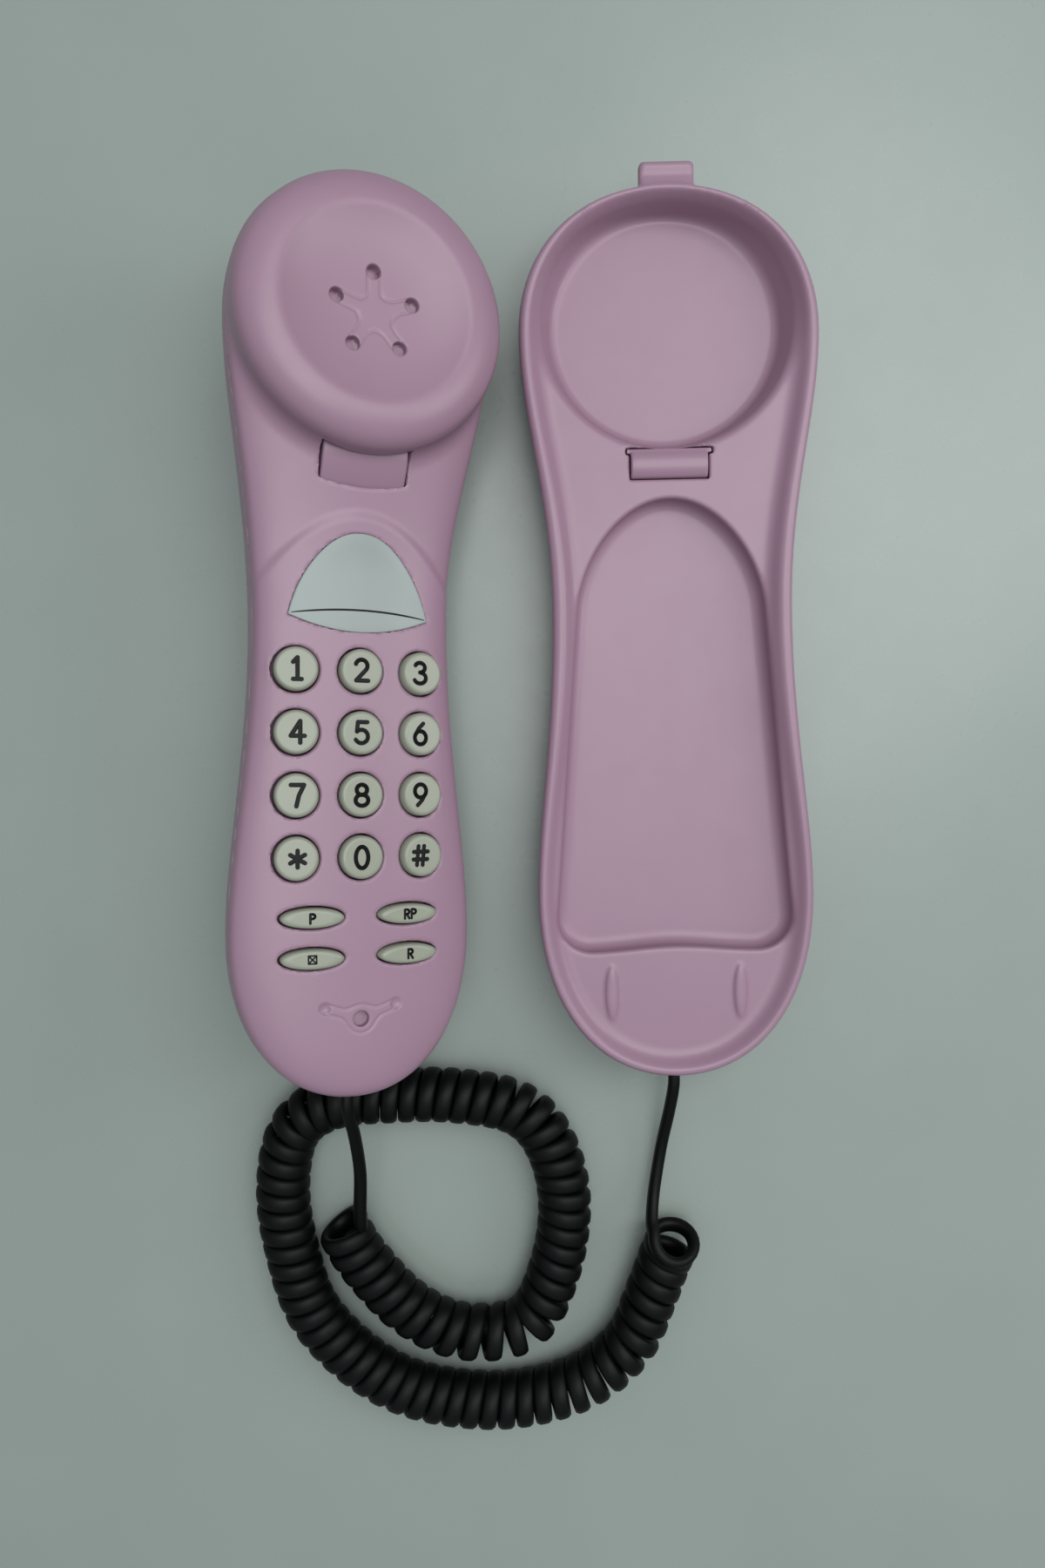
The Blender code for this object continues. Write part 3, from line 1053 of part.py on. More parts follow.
# ---------------------------------------------------------------- inside the handset
def make_board(frame):
    points = []
    for point in outline(HANDSET, BOARD_INSET):
        if BOARD_LOW_Y < point.y < BOARD_HIGH_Y:
            points.append(point)
    right = [point for point in points if point.x > 0]
    left = [point for point in points if point.x < 0]
    ends = []
    for y, near in ((BOARD_HIGH_Y, right[0]), (BOARD_LOW_Y, right[-1])):
        ends.append((near.x, y))
    points = [ends[0]] + [tuple(p) for p in right] + [ends[1], (-ends[1][0], ends[1][1])]
    points += [tuple(p) for p in left] + [(-ends[0][0], ends[0][1])]
    show(plate("main_circuit_board", points, BOARD_TOP - BOARD_THICKNESS, BOARD_TOP, frame), "board")

    low = BOARD_TOP + GAP
    top = low + MEMBRANE_THICKNESS
    bm = bmesh.new()
    edge = KEY_PITCH_X + KEY_RADIUS
    add_box(bm, (-edge, OVAL_YS[1] - 4 * MM, low), (edge, KEY_BLOCK_Y + 1.5 * KEY_PITCH_Y + 6 * MM, top))
    sheet = mesh_object("keypad_membrane", bm, frame)
    domes = bmesh.new()
    key_bottom = FACE_HEIGHT - SHELL_WALL - GAP - FLANGE_THICKNESS
    places = [(column * KEY_PITCH_X, KEY_BLOCK_Y + (1.5 - row) * KEY_PITCH_Y, MEMBRANE_DOME_RADIUS)
              for column in (-1, 0, 1) for row in range(4)]
    places += [(side * OVAL_X, y, 0.8 * MEMBRANE_DOME_RADIUS) for side in (-1, 1) for y in OVAL_YS]
    for x, y, radius in places:
        drop = FACE_HEIGHT - face_z(abs(x) + 0.6 * radius)
        add_cylinder(domes, x, y, top - 0.4 * MM, key_bottom - drop - KEY_TRAVEL - GAP, radius, 12, 0.6 * radius)
    boolean(sheet, mesh_object("membrane_domes", domes, frame), "UNION")
    show(sheet, "keypad_rubber")

    switch = bmesh.new()
    y = LEVER_PIN.y - LEVER_REACH - 5.5 * MM + SWITCH_SIZE.y / 2 - 3.5 * MM
    size = SWITCH_SIZE + Vector((0, 0, lift(y - SWITCH_SIZE.y / 2)))
    middle = Vector((0, y, BOARD_TOP + GAP + size.z / 2))
    add_box(switch, middle - size / 2, middle + size / 2)
    show(mesh_object("hook_switch_body", switch, frame), "black_plastic")


def make_lever_spring(frame):
    """Compression spring under the lever, drawn short enough to clear the pressed lever."""
    turns = 3
    points_each = 10
    radius = 1.7 * MM
    wire = 0.25 * MM
    low = BOARD_TOP + GAP + wire
    height = 1.8 * MM
    y = LEVER_PIN.y - LEVER_REACH - 2 * MM
    curve = bpy.data.curves.new("hook_lever_spring", "CURVE")
    curve.dimensions = "3D"
    curve.bevel_depth = wire
    curve.bevel_resolution = 1
    curve.use_fill_caps = True
    spline = curve.splines.new("POLY")
    total = turns * points_each
    spline.points.add(total)
    for index, point in enumerate(spline.points):
        turn = 2 * math.pi * index / points_each
        point.co = (7 * MM + radius * math.cos(turn), y - 4 * MM + radius * math.sin(turn),
                    low + height * index / total, 1)
    show(curve_to_mesh("hook_lever_spring", curve, frame), "steel")


def make_receiver(frame):
    inside = lift(DOME_Y) + FACE_HEIGHT + DOME_HEIGHT - SHELL_WALL - DISH_DEPTH
    top = inside - GAP
    bm = bmesh.new()
    add_cylinder(bm, 0, DOME_Y, top - GASKET_THICKNESS, top, RECEIVER_RADIUS, 24)
    gasket = mesh_object("receiver_gasket", bm, frame)
    core = bmesh.new()
    add_cylinder(core, 0, DOME_Y, top - 5 * MM, top + 5 * MM, SOUND_RING_RADIUS + 3.4 * MM, 24)
    boolean(gasket, mesh_object("gasket_core", core, frame))
    show(gasket, "rubber")
    body = bmesh.new()
    high = top - GASKET_THICKNESS - GAP
    add_cylinder(body, 0, DOME_Y, high - RECEIVER_HEIGHT, high, RECEIVER_RADIUS, 24)
    show(mesh_object("earpiece_receiver", body, frame), "black_plastic")


def make_microphone(frame):
    under = FACE_HEIGHT - SHELL_WALL - GAP
    boot = bmesh.new()
    add_cylinder(boot, 0, MIC_Y, under - GAP - MIC_HEIGHT, under - GAP, MIC_RADIUS + GAP + BOOT_WALL, 20)
    sleeve = mesh_object("microphone_boot", boot, frame)
    core = bmesh.new()
    add_cylinder(core, 0, MIC_Y, under - 2 * MIC_HEIGHT, under + 1 * MM, MIC_RADIUS + GAP, 20)
    boolean(sleeve, mesh_object("boot_core", core, frame))
    show(sleeve, "rubber")
    capsule = bmesh.new()
    add_cylinder(capsule, 0, MIC_Y, under - GAP - MIC_HEIGHT, under - 2 * GAP, MIC_RADIUS, 20)
    show(mesh_object("microphone_capsule", capsule, frame), "steel")


def make_ringer_and_bar(frame):
    seat = back_z(RINGER_Y) + SHELL_WALL + RINGER_SEAT + GAP
    bm = bmesh.new()
    add_cylinder(bm, 0, RINGER_Y, seat, seat + RINGER_HEIGHT, RINGER_RADIUS, 24)
    show(mesh_object("ringer_buzzer", bm, frame), "black_plastic")
    bar = bmesh.new()
    middle = Vector((0, BAR_Y, bar_low_z() + BAR_SIZE.z / 2))
    add_box(bar, middle - BAR_SIZE / 2, middle + BAR_SIZE / 2)
    show(mesh_object("handset_weight", bar, frame), "steel")


def make_handset_screws(frame):
    seat = -HANDSET_SCREW_DEPTH
    for index, (x, y) in enumerate(HANDSET_SCREWS):
        screw = bmesh.new()
        add_screw(screw, x, y, seat - SCREW_HEAD_HEIGHT, SCREW_HEAD_HEIGHT, FACE_HEIGHT - 3.8 * MM)
        show(bend(mesh_object(f"handset_screw_{index + 1}", screw, frame)), "steel")


def make_handset_jack(frame):
    middle = plug_middle_z()
    half = PLUG_WIDTH / 2 + GAP + JACK_WALL
    y = HANDSET.bottom + HANDSET_JACK_DEPTH
    bm = bmesh.new()
    add_box(bm, (-half, y, middle - PLUG_HEIGHT / 2 - GAP - JACK_WALL), (half, y + JACK_LENGTH, middle
            + PLUG_HEIGHT / 2 + GAP + JACK_WALL))
    jack = mesh_object("handset_jack", bm, frame)
    hole = bmesh.new()
    add_box(hole, (-PLUG_WIDTH / 2 - GAP, y - 1 * MM, middle - PLUG_HEIGHT / 2 - GAP),
            (PLUG_WIDTH / 2 + GAP, y + PLUG_LENGTH, middle + PLUG_HEIGHT / 2 + GAP))
    boolean(jack, mesh_object("handset_plug_socket", hole, frame))
    show(jack, "black_plastic")


# ---------------------------------------------------------------- cord
def make_plug(name, socket_y, middle, exit_y, frame):
    """Clear plug with its short boot; returns the point where the cord leaves it, in its frame."""
    bm = bmesh.new()
    back = socket_y + PLUG_LENGTH - GAP
    add_box(bm, (-PLUG_WIDTH / 2, back - PLUG_LENGTH, middle - PLUG_HEIGHT / 2),
            (PLUG_WIDTH / 2, back, middle + PLUG_HEIGHT / 2))
    front = back - PLUG_LENGTH
    plug = mesh_object(name, bm, frame)
    boot = bmesh.new()
    add_box(boot, (-0.36 * PLUG_WIDTH, exit_y, middle - 0.36 * PLUG_HEIGHT),
            (0.36 * PLUG_WIDTH, front + 1 * MM, middle + 0.36 * PLUG_HEIGHT))
    boolean(plug, mesh_object(name + "_boot", boot, frame), "UNION")
    show(plug, "clear_plug")
    return Vector((0, exit_y, middle))


def smooth_route(points, steps):
    """Catmull-Rom curve through the points."""
    path = [points[0] * 2 - points[1]] + list(points) + [points[-1] * 2 - points[-2]]
    made = []
    for index in range(1, len(path) - 2):
        before, start, end, after = path[index - 1:index + 3]
        for step in range(steps):
            t = step / steps
            bow = (2 * before - 5 * start + 4 * end - after) * t ** 2
            twist = (3 * start - before - 3 * end + after) * t ** 3
            made.append(0.5 * (2 * start + (end - before) * t + bow + twist))
    made.append(points[-1])
    return made


def make_tube(name, points, radius):
    curve = bpy.data.curves.new(name, "CURVE")
    curve.dimensions = "3D"
    curve.bevel_depth = radius
    curve.bevel_resolution = 2
    curve.use_fill_caps = True
    spline = curve.splines.new("POLY")
    spline.points.add(len(points) - 1)
    for point, place in zip(spline.points, points):
        point.co = (*place, 1)
    tube = curve_to_mesh(name, curve, None)
    show(tube, "black_cord", 60)


def make_cord(handset_exit, handset_aim, base_exit, base_aim):
    coil = [Vector(point) * MM for point in COIL_ROUTE]
    coil_path = smooth_route(coil, COIL_STEPS)
    make_tube("cord_coil", coil_path, COIL_RADIUS)
    start_aim = (coil_path[1] - coil_path[0]).normalized()
    end_aim = (coil_path[-1] - coil_path[-2]).normalized()
    for name, place, aim, route, far, far_aim in (
            ("cord_tail_handset", handset_exit, handset_aim, HANDSET_TAIL_ROUTE, coil_path[0], start_aim),
            ("cord_tail_base", base_exit, base_aim, BASE_TAIL_ROUTE, coil_path[-1], -end_aim)):
        points = [place + aim * TAIL_STRAIGHT]
        points += [Vector(point) * MM for point in route]
        points += [far - far_aim * TAIL_STRAIGHT]
        path = [place + aim * GAP] + smooth_route(points, TAIL_STEPS) + [far - far_aim * GAP]
        make_tube(name, path, TAIL_RADIUS)


# ---------------------------------------------------------------- the telephone
def add_empty(name, place, turn):
    empty = bpy.data.objects.new(name, None)
    PARTS.objects.link(empty)
    empty.rotation_mode = "YXZ"
    empty.rotation_euler = turn
    empty.location = place
    return empty


def resting_height(turn):
    """How far the tilted handset's parting line lies above the table when its back touches it."""
    points = [Vector((x, y, z + lift(y))) for ring in back_rings(0) for x, y, z in ring]
    return -min((turn.to_matrix() @ point).z for point in points)


def build():
    cradle_frame = add_empty("cradle_frame", CRADLE_PLACE, Euler((0, 0, 0), "YXZ"))
    turn = Euler((HANDSET_PITCH, HANDSET_ROLL, HANDSET_YAW), "YXZ")
    place = HANDSET_PLACE + Vector((0, 0, resting_height(turn)))
    handset_frame = add_empty("handset_frame", place, turn)

    make_cradle(cradle_frame)
    make_cover(cradle_frame)
    make_hook_tab(cradle_frame)
    make_cradle_electrics(cradle_frame)

    make_front_shell(handset_frame)
    make_back_shell(handset_frame)
    make_keys(handset_frame)
    make_label(handset_frame)
    make_lever(handset_frame)
    make_lever_spring(handset_frame)
    make_board(handset_frame)
    make_receiver(handset_frame)
    make_microphone(handset_frame)
    make_ringer_and_bar(handset_frame)
    make_handset_screws(handset_frame)
    make_handset_jack(handset_frame)

    base_exit = make_plug("cord_plug_base", handset_jack_y() + GAP, jack_heights()[1],
                          CRADLE.bottom - PLUG_SHOWS, cradle_frame)
    handset_exit = make_plug("cord_plug_handset", HANDSET.bottom + HANDSET_JACK_DEPTH, plug_middle_z(),
                             HANDSET.bottom - PLUG_SHOWS, handset_frame)
    bpy.context.view_layer.update()
    outwards = Vector((0, -1, 0))
    make_cord(handset_frame.matrix_world @ handset_exit, turn.to_matrix() @ outwards,
              cradle_frame.matrix_world @ base_exit, outwards)


clear_scene()
PARTS = make_collection("telephone")
CUTTERS = make_collection("cutters")
MATERIALS = make_materials()
build()
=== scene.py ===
import json
import math

import bmesh
import bpy
import numpy as np
from mathutils import Euler, Matrix, Vector

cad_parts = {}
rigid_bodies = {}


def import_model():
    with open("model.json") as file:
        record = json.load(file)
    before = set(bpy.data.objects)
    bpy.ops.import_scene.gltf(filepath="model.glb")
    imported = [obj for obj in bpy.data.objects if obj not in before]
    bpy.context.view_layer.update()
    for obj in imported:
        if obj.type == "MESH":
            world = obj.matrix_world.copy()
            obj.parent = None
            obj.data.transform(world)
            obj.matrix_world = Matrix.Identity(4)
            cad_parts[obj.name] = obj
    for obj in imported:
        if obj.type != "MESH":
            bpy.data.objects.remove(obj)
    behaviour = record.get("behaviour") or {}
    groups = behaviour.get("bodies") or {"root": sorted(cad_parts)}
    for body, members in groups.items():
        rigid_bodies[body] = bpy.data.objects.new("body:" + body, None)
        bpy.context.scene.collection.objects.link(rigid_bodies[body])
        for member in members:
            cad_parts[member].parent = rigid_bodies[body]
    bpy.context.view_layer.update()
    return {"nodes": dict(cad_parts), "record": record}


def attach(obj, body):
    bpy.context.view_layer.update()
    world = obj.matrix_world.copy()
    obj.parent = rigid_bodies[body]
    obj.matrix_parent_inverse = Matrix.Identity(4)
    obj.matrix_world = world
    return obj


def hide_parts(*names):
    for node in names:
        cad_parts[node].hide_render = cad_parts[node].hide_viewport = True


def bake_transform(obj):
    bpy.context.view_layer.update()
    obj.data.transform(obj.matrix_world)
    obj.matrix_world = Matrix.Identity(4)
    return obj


for item in list(bpy.data.objects):
    bpy.data.objects.remove(item)
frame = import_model()
mm = 0.001  # forms below are drawn in millimetres and become metres when their mesh is made


view = dict(place=(-1.02, -16.54, 264.14), tip=-4.0, turn=-1.3, lens=24.7, sensor=36)


def makeCamera():
    camera = bpy.data.cameras.new("camera")
    camera.lens = view["lens"]
    camera.sensor_width = view["sensor"]
    camera.clip_start = 0.01
    holder = bpy.data.objects.new("camera", camera)
    bpy.context.scene.collection.objects.link(holder)
    holder.location = Vector(view["place"]) * mm
    holder.rotation_euler = (math.radians(view["tip"]), 0, math.radians(view["turn"]))
    bpy.context.scene.camera = holder


finishes = dict(
    pink=dict(colour=(159, 129, 148), deep=(151, 120, 139), rough=0.36, grain=0.05),
    ivory=dict(colour=(153, 158, 143), deep=(145, 150, 133), rough=0.3, grain=0.03),
    label=dict(colour=(148, 158, 155), deep=(141, 152, 149), rough=0.3, grain=0.01),
    ink=dict(colour=(12, 12, 13), deep=(18, 18, 19), rough=0.5, grain=0.02),
    cord=dict(colour=(2, 3, 3), deep=(4, 5, 5), rough=0.5, grain=0.06),
    blackPlastic=dict(colour=(30, 30, 31), deep=(40, 40, 42), rough=0.4, grain=0.08),
    rubber=dict(colour=(48, 47, 46), deep=(62, 60, 58), rough=0.8, grain=0.15),
    keypadRubber=dict(colour=(180, 178, 168), deep=(166, 164, 154), rough=0.7, grain=0.08),
    board=dict(colour=(34, 92, 52), deep=(22, 70, 38), rough=0.45, grain=0.05),
)


# Screen levels from 0 to 255 as the shader's own colour.
def plain(levels):
    return tuple(c / 255 / 12.92 if c < 10.3 else ((c / 255 + 0.055) / 1.055) ** 2.4 for c in levels) + (1,)


def addNode(tree, kind, place=(0, 0), **values):
    node = tree.nodes.new(kind)
    node.location = place
    for key, value in values.items():
        if hasattr(node, key):
            setattr(node, key, value)
    return node


# Moulded plastic: a cloudy colour, a fine grain in its bump and a roughness that wanders.
def mouldedPlastic(name, colour, deep, rough, grain):
    material = bpy.data.materials.new(name)
    material.use_nodes = True
    tree = material.node_tree
    shader = tree.nodes["Principled BSDF"]
    place = addNode(tree, "ShaderNodeTexCoord", (-1100, 0))
    cloud = addNode(tree, "ShaderNodeTexNoise", (-800, 250))
    cloud.inputs["Scale"].default_value = 22
    cloud.inputs["Detail"].default_value = 3
    mix = addNode(tree, "ShaderNodeMix", (-400, 250), data_type="RGBA")
    mix.inputs[6].default_value = plain(colour)
    mix.inputs[7].default_value = plain(deep)
    wander = addNode(tree, "ShaderNodeTexNoise", (-800, -50))
    wander.inputs["Scale"].default_value = 140
    spread = addNode(tree, "ShaderNodeMapRange", (-400, -50))
    spread.inputs["To Min"].default_value = rough - 0.04
    spread.inputs["To Max"].default_value = rough + 0.05
    fine = addNode(tree, "ShaderNodeTexNoise", (-800, -350))
    fine.inputs["Scale"].default_value = 2600
    fine.inputs["Detail"].default_value = 2
    bump = addNode(tree, "ShaderNodeBump", (-400, -350))
    bump.inputs["Strength"].default_value = grain
    bump.inputs["Distance"].default_value = 0.0002
    for texture in (cloud, wander, fine):
        tree.links.new(place.outputs["Object"], texture.inputs["Vector"])
    tree.links.new(cloud.outputs["Fac"], mix.inputs[0])
    tree.links.new(mix.outputs[2], shader.inputs["Base Color"])
    tree.links.new(wander.outputs["Fac"], spread.inputs["Value"])
    tree.links.new(spread.outputs[0], shader.inputs["Roughness"])
    tree.links.new(fine.outputs["Fac"], bump.inputs["Height"])
    tree.links.new(bump.outputs["Normal"], shader.inputs["Normal"])
    return material


def brushedSteel():
    material = mouldedPlastic("steel", (150, 150, 152), (120, 120, 124), 0.32, 0.1)
    material.node_tree.nodes["Principled BSDF"].inputs["Metallic"].default_value = 1
    return material


def clearPlastic():
    material = mouldedPlastic("clearPlug", (225, 228, 228), (210, 214, 214), 0.12, 0.01)
    shader = material.node_tree.nodes["Principled BSDF"]
    shader.inputs["Transmission Weight"].default_value = 0.75
    shader.inputs["IOR"].default_value = 1.5
    return material


made = {name: mouldedPlastic(name, **values) for name, values in finishes.items()}
for name in ("cord", "ink"):
    made[name].node_tree.nodes["Principled BSDF"].inputs["Specular IOR Level"].default_value = 0.2
made["steel"] = brushedSteel()
made["clearPlug"] = clearPlastic()
slotFinish = dict(pink_plastic="pink", ivory_plastic="ivory", label="label", black_cord="cord",
                  black_plastic="blackPlastic", clear_plug="clearPlug", rubber="rubber",
                  keypad_rubber="keypadRubber", steel="steel", board="board")
for part in frame["record"]["subparts"]:
    node = frame["nodes"][part["node"]]
    node.data.materials.clear()
    node.data.materials.append(made[slotFinish[part["material_slot"]]])
print("finishes made")


# A form is a function that is negative inside a smooth solid, and a net is laid on its surface.
def softMin(a, b, width):
    share = np.clip(0.5 + 0.5 * (b - a) / width, 0, 1)
    return b * (1 - share) + a * share - width * share * (1 - share)


def softMax(a, b, width):
    return -softMin(-a, -b, width)


def ease(value):
    share = np.clip(value, 0, 1)
    return share * share * (3 - 2 * share)


# Vertices and outward quads of a form's surface inside a box.
def netMesh(form, low, high, step):
    axes = [np.arange(a, b + step, step) for a, b in zip(low, high)]
    shape = tuple(len(axis) for axis in axes)
    grid = np.meshgrid(*axes, indexing="ij", sparse=True)
    depth = np.broadcast_to(form(*grid), shape).astype(np.float32)
    inside = depth < 0
    count = np.zeros([n - 1 for n in shape], np.uint8)
    for i in (0, 1):
        for j in (0, 1):
            for k in (0, 1):
                count += inside[i:shape[0] - 1 + i, j:shape[1] - 1 + j, k:shape[2] - 1 + k]
    active = (count > 0) & (count < 8)
    cells = np.argwhere(active)
    number = np.full(active.shape, -1, np.int64)
    number[active] = np.arange(len(cells))
    total = np.zeros((len(cells), 3))
    hits = np.zeros(len(cells))
    quads = []
    for axis in range(3):
        a, b = (axis + 1) % 3, (axis + 2) % 3
        for i in (0, 1):
            for j in (0, 1):
                start = cells.copy()
                start[:, a] += i
                start[:, b] += j
                end = start.copy()
                end[:, axis] += 1
                first, last = depth[tuple(start.T)], depth[tuple(end.T)]
                cross = (first < 0) != (last < 0)
                point = start.astype(float)
                point[:, axis] += np.where(cross, first / np.where(cross, first - last, 1), 0)
                total[cross] += point[cross]
                hits[cross] += 1
        head = np.take(inside, range(0, shape[axis] - 1), axis)
        tail = np.take(inside, range(1, shape[axis]), axis)
        at = np.argwhere(head != tail)
        at = at[(at[:, a] > 0) & (at[:, b] > 0) & (at[:, a] < shape[a] - 1) & (at[:, b] < shape[b] - 1)]
        corners = []
        for back in ((1, 1), (0, 1), (0, 0), (1, 0)):
            cell = at.copy()
            cell[:, a] -= back[0]
            cell[:, b] -= back[1]
            corners.append(number[tuple(cell.T)])
        quad = np.stack(corners, 1)
        turned = ~inside[tuple(at.T)]
        quad[turned] = quad[turned][:, ::-1]
        quads.append(quad)
    points = total / hits[:, None] * step + np.array(low)
    return pullOn(form, points, 2, step), np.concatenate(quads)


# Moves points on to a form's surface, along its slope.
def pullOn(form, points, rounds, reach):
    probe = 0.02
    points = points.copy()
    for _ in range(rounds):
        depth = form(*points.T)
        slope = np.empty_like(points)
        for axis in range(3):
            ahead = points.copy()
            ahead[:, axis] += probe
            slope[:, axis] = (form(*ahead.T) - depth) / probe
        size = np.maximum((slope ** 2).sum(1), 0.05)
        move = -slope * (depth / size)[:, None]
        length = np.maximum(np.linalg.norm(move, axis=1), 1e-9)
        points += move * np.minimum(1, 0.6 * reach / length)[:, None]
    return points


# A finished piece from a mesh in its own frame and millimetres, placed by a matrix in metres.
def finishPiece(name, mesh, place, material, sharp):
    mesh.transform(place @ Matrix.Diagonal((mm, mm, mm, 1)))
    mesh.materials.append(material)
    mesh.shade_smooth()
    mesh.set_sharp_from_angle(angle=math.radians(sharp))
    piece = bpy.data.objects.new(name, mesh)
    bpy.context.scene.collection.objects.link(piece)
    return piece


def meshPiece(name, points, faces, place, material, sharp=40):
    mesh = bpy.data.meshes.new(name)
    mesh.from_pydata(np.asarray(points).tolist(), [], faces)
    return finishPiece(name, mesh, place, material, sharp)


# A net piece; fine(points) marks where it gets more points, and flat(points) where it needs few.
def netPiece(name, form, low, high, step, place, material, fine=None, flat=None, sharp=50):
    points, quads = netMesh(form, low, high, step)
    mesh = bpy.data.meshes.new(name)
    mesh.from_pydata(points.tolist(), [], quads.tolist())
    bm = bmesh.new()
    bm.from_mesh(mesh)
    bm.verts.ensure_lookup_table()
    if fine is not None:
        marks = fine(points)
        edges = [edge for edge in bm.edges if all(marks[v.index] for v in edge.verts)]
        before = len(bm.verts)
        bmesh.ops.subdivide_edges(bm, edges=edges, cuts=2, use_grid_fill=True)
        co = np.array([v.co for v in bm.verts])
        moved = np.zeros(len(co), bool)
        moved[:before] = marks
        moved[before:] = True
        co[moved] = pullOn(form, co[moved], 2, step / 3)
        for vertex, point in zip(bm.verts, co):
            vertex.co = point
    if flat is not None:
        bm.verts.index_update()
        marks = flat(np.array([v.co for v in bm.verts]))
        inner = [v for v in bm.verts if all(marks[u.index] for face in v.link_faces for u in face.verts)]
        edges = [edge for edge in {edge for v in inner for edge in v.link_edges}
                 if all(all(marks[u.index] for face in v.link_faces for u in face.verts) for v in edge.verts)]
        bmesh.ops.dissolve_limit(bm, angle_limit=math.radians(2), verts=inner, edges=edges)
    bmesh.ops.triangulate(bm, faces=[face for face in bm.faces if len(face.verts) > 4])
    bm.to_mesh(mesh)
    bm.free()
    print(name, len(mesh.vertices), "points", len(mesh.polygons), "faces")
    return finishPiece(name, mesh, place, material, sharp)


fullness = 0.6
cradleForm = dict(top=101, shoulder=33.5, shoulderY=69, waist=27.2, waistY=9, hip=31.8, hipY=-58, bottom=-100)
recessForm = dict(top=99.2, shoulder=30.5, shoulderY=69, waist=23.5, waistY=9, hip=29.2, hipY=-58,
                  bottom=-97.3)
handsetForm = dict(top=97, shoulder=28.3, shoulderY=68, waist=21.4, waistY=6, hip=26.5, hipY=-62, bottom=-97)


def curvePoints(start, startHandle, endHandle, end, count):
    t = np.linspace(0, 1, count, endpoint=False)[:, None]
    a, b, c, d = (np.array(p, float) for p in (start, startHandle, endHandle, end))
    return (1 - t) ** 3 * a + 3 * (1 - t) ** 2 * t * b + 3 * (1 - t) * t * t * c + t ** 3 * d


# The +X side of a long waisted outline, from its top to its bottom.
def sidePoints(form, count=18):
    rise, upper = form["top"] - form["shoulderY"], form["shoulderY"] - form["waistY"]
    lower, drop = form["waistY"] - form["hipY"], form["hipY"] - form["bottom"]
    shoulder, waist = (form["shoulder"], form["shoulderY"]), (form["waist"], form["waistY"])
    hip, top, bottom = (form["hip"], form["hipY"]), (0, form["top"]), (0, form["bottom"])
    pieces = ((top, (fullness * shoulder[0], top[1]), (shoulder[0], shoulder[1] + fullness * rise), shoulder),
              (shoulder, (shoulder[0], shoulder[1] - 0.3 * upper),
               (waist[0], waist[1] + 0.43 * upper), waist),
              (waist, (waist[0], waist[1] - 0.42 * lower), (hip[0], hip[1] + 0.27 * lower), hip),
              (hip, (hip[0], hip[1] - fullness * drop), (fullness * hip[0], bottom[1]), bottom))
    return np.concatenate([curvePoints(*piece, count) for piece in pieces] + [np.array([bottom])])


def bothSides(right):
    return np.concatenate([right, right[-2:0:-1] * (-1, 1)])


# Distance to a closed flat outline, negative inside, ready for any x and y.
def flatField(points, margin=8, step=0.4):
    points = np.asarray(points, float)
    low, high = points.min(0) - margin, points.max(0) + margin
    xs, ys = (np.arange(low[i], high[i] + step, step) for i in (0, 1))
    gx, gy = np.meshgrid(xs, ys, indexing="ij")
    best = np.full(gx.shape, 1e9)
    inside = np.zeros(gx.shape, bool)
    for a, b in zip(points, np.roll(points, -1, 0)):
        edge = b - a
        along = np.clip(((gx - a[0]) * edge[0] + (gy - a[1]) * edge[1]) / max(edge @ edge, 1e-9), 0, 1)
        best = np.minimum(best, (gx - a[0] - along * edge[0]) ** 2 + (gy - a[1] - along * edge[1]) ** 2)
        if a[1] != b[1]:
            crosses = (a[1] > gy) != (b[1] > gy)
            inside ^= crosses & (gx < a[0] + (gy - a[1]) / (b[1] - a[1]) * edge[0])
    table = np.sqrt(best) * np.where(inside, -1, 1)

    def field(x, y):
        x, y = np.broadcast_arrays(x, y)
        u = np.clip((x - xs[0]) / step, 0, len(xs) - 1.001)
        v = np.clip((y - ys[0]) / step, 0, len(ys) - 1.001)
        i, j = u.astype(int), v.astype(int)
        u, v = u - i, v - j
        return (table[i, j] * (1 - u) * (1 - v) + table[i + 1, j] * u * (1 - v)
                + table[i, j + 1] * (1 - u) * v + table[i + 1, j + 1] * u * v)
    return field


# Distance to a box with rounded edges.
def boxField(x, y, z, low, high, edge=0.0):
    gaps = [np.abs(value - (a + b) / 2) - (b - a) / 2 + edge for value, a, b in zip((x, y, z), low, high)]
    out = np.sqrt(sum(np.maximum(gap, 0) ** 2 for gap in gaps))
    return out + np.minimum(np.maximum(np.maximum(gaps[0], gaps[1]), gaps[2]), 0) - edge


cradle = dict(place=(33.4, -2.85, 0), height=20, deck=17, foot=1.5, draft=3.6, rimRound=2.4, rimInside=2.2,
              cupRadius=26, cupMouth=29, cupY=72.2, cupFloor=9, cupFillet=1.8, lip=1.6, deckFillet=3.4,
              hollowTop=33.1, shoulder=(21.4, 8.4), hip=(27.3, -58), hollowBottom=-70.8, corner=8,
              hollowDepth=4.5, hollowDish=1, hollowFullness=0.5, hollowBow=1.1,
              ribX=15, ribY=-80.4, ribHalf=(1.6, 6.7), ribHeight=0.75,
              lugHalf=6.1, lugEnd=106.2, lugLow=14.8, lugHigh=18.4, jackMiddle=10.41,
              slotHalf=9.0, slotLow=37.3, slotHigh=44.6, slotFloor=10.5,
              earHalf=9.9, earLow=42.9, earHigh=44.4,
              tabHalf=8.7, tabLow=37.6, tabHigh=44.3, tabFoot=11, tabProud=0.9)
cradlePlace = Matrix.Translation(Vector(cradle["place"]) * mm)


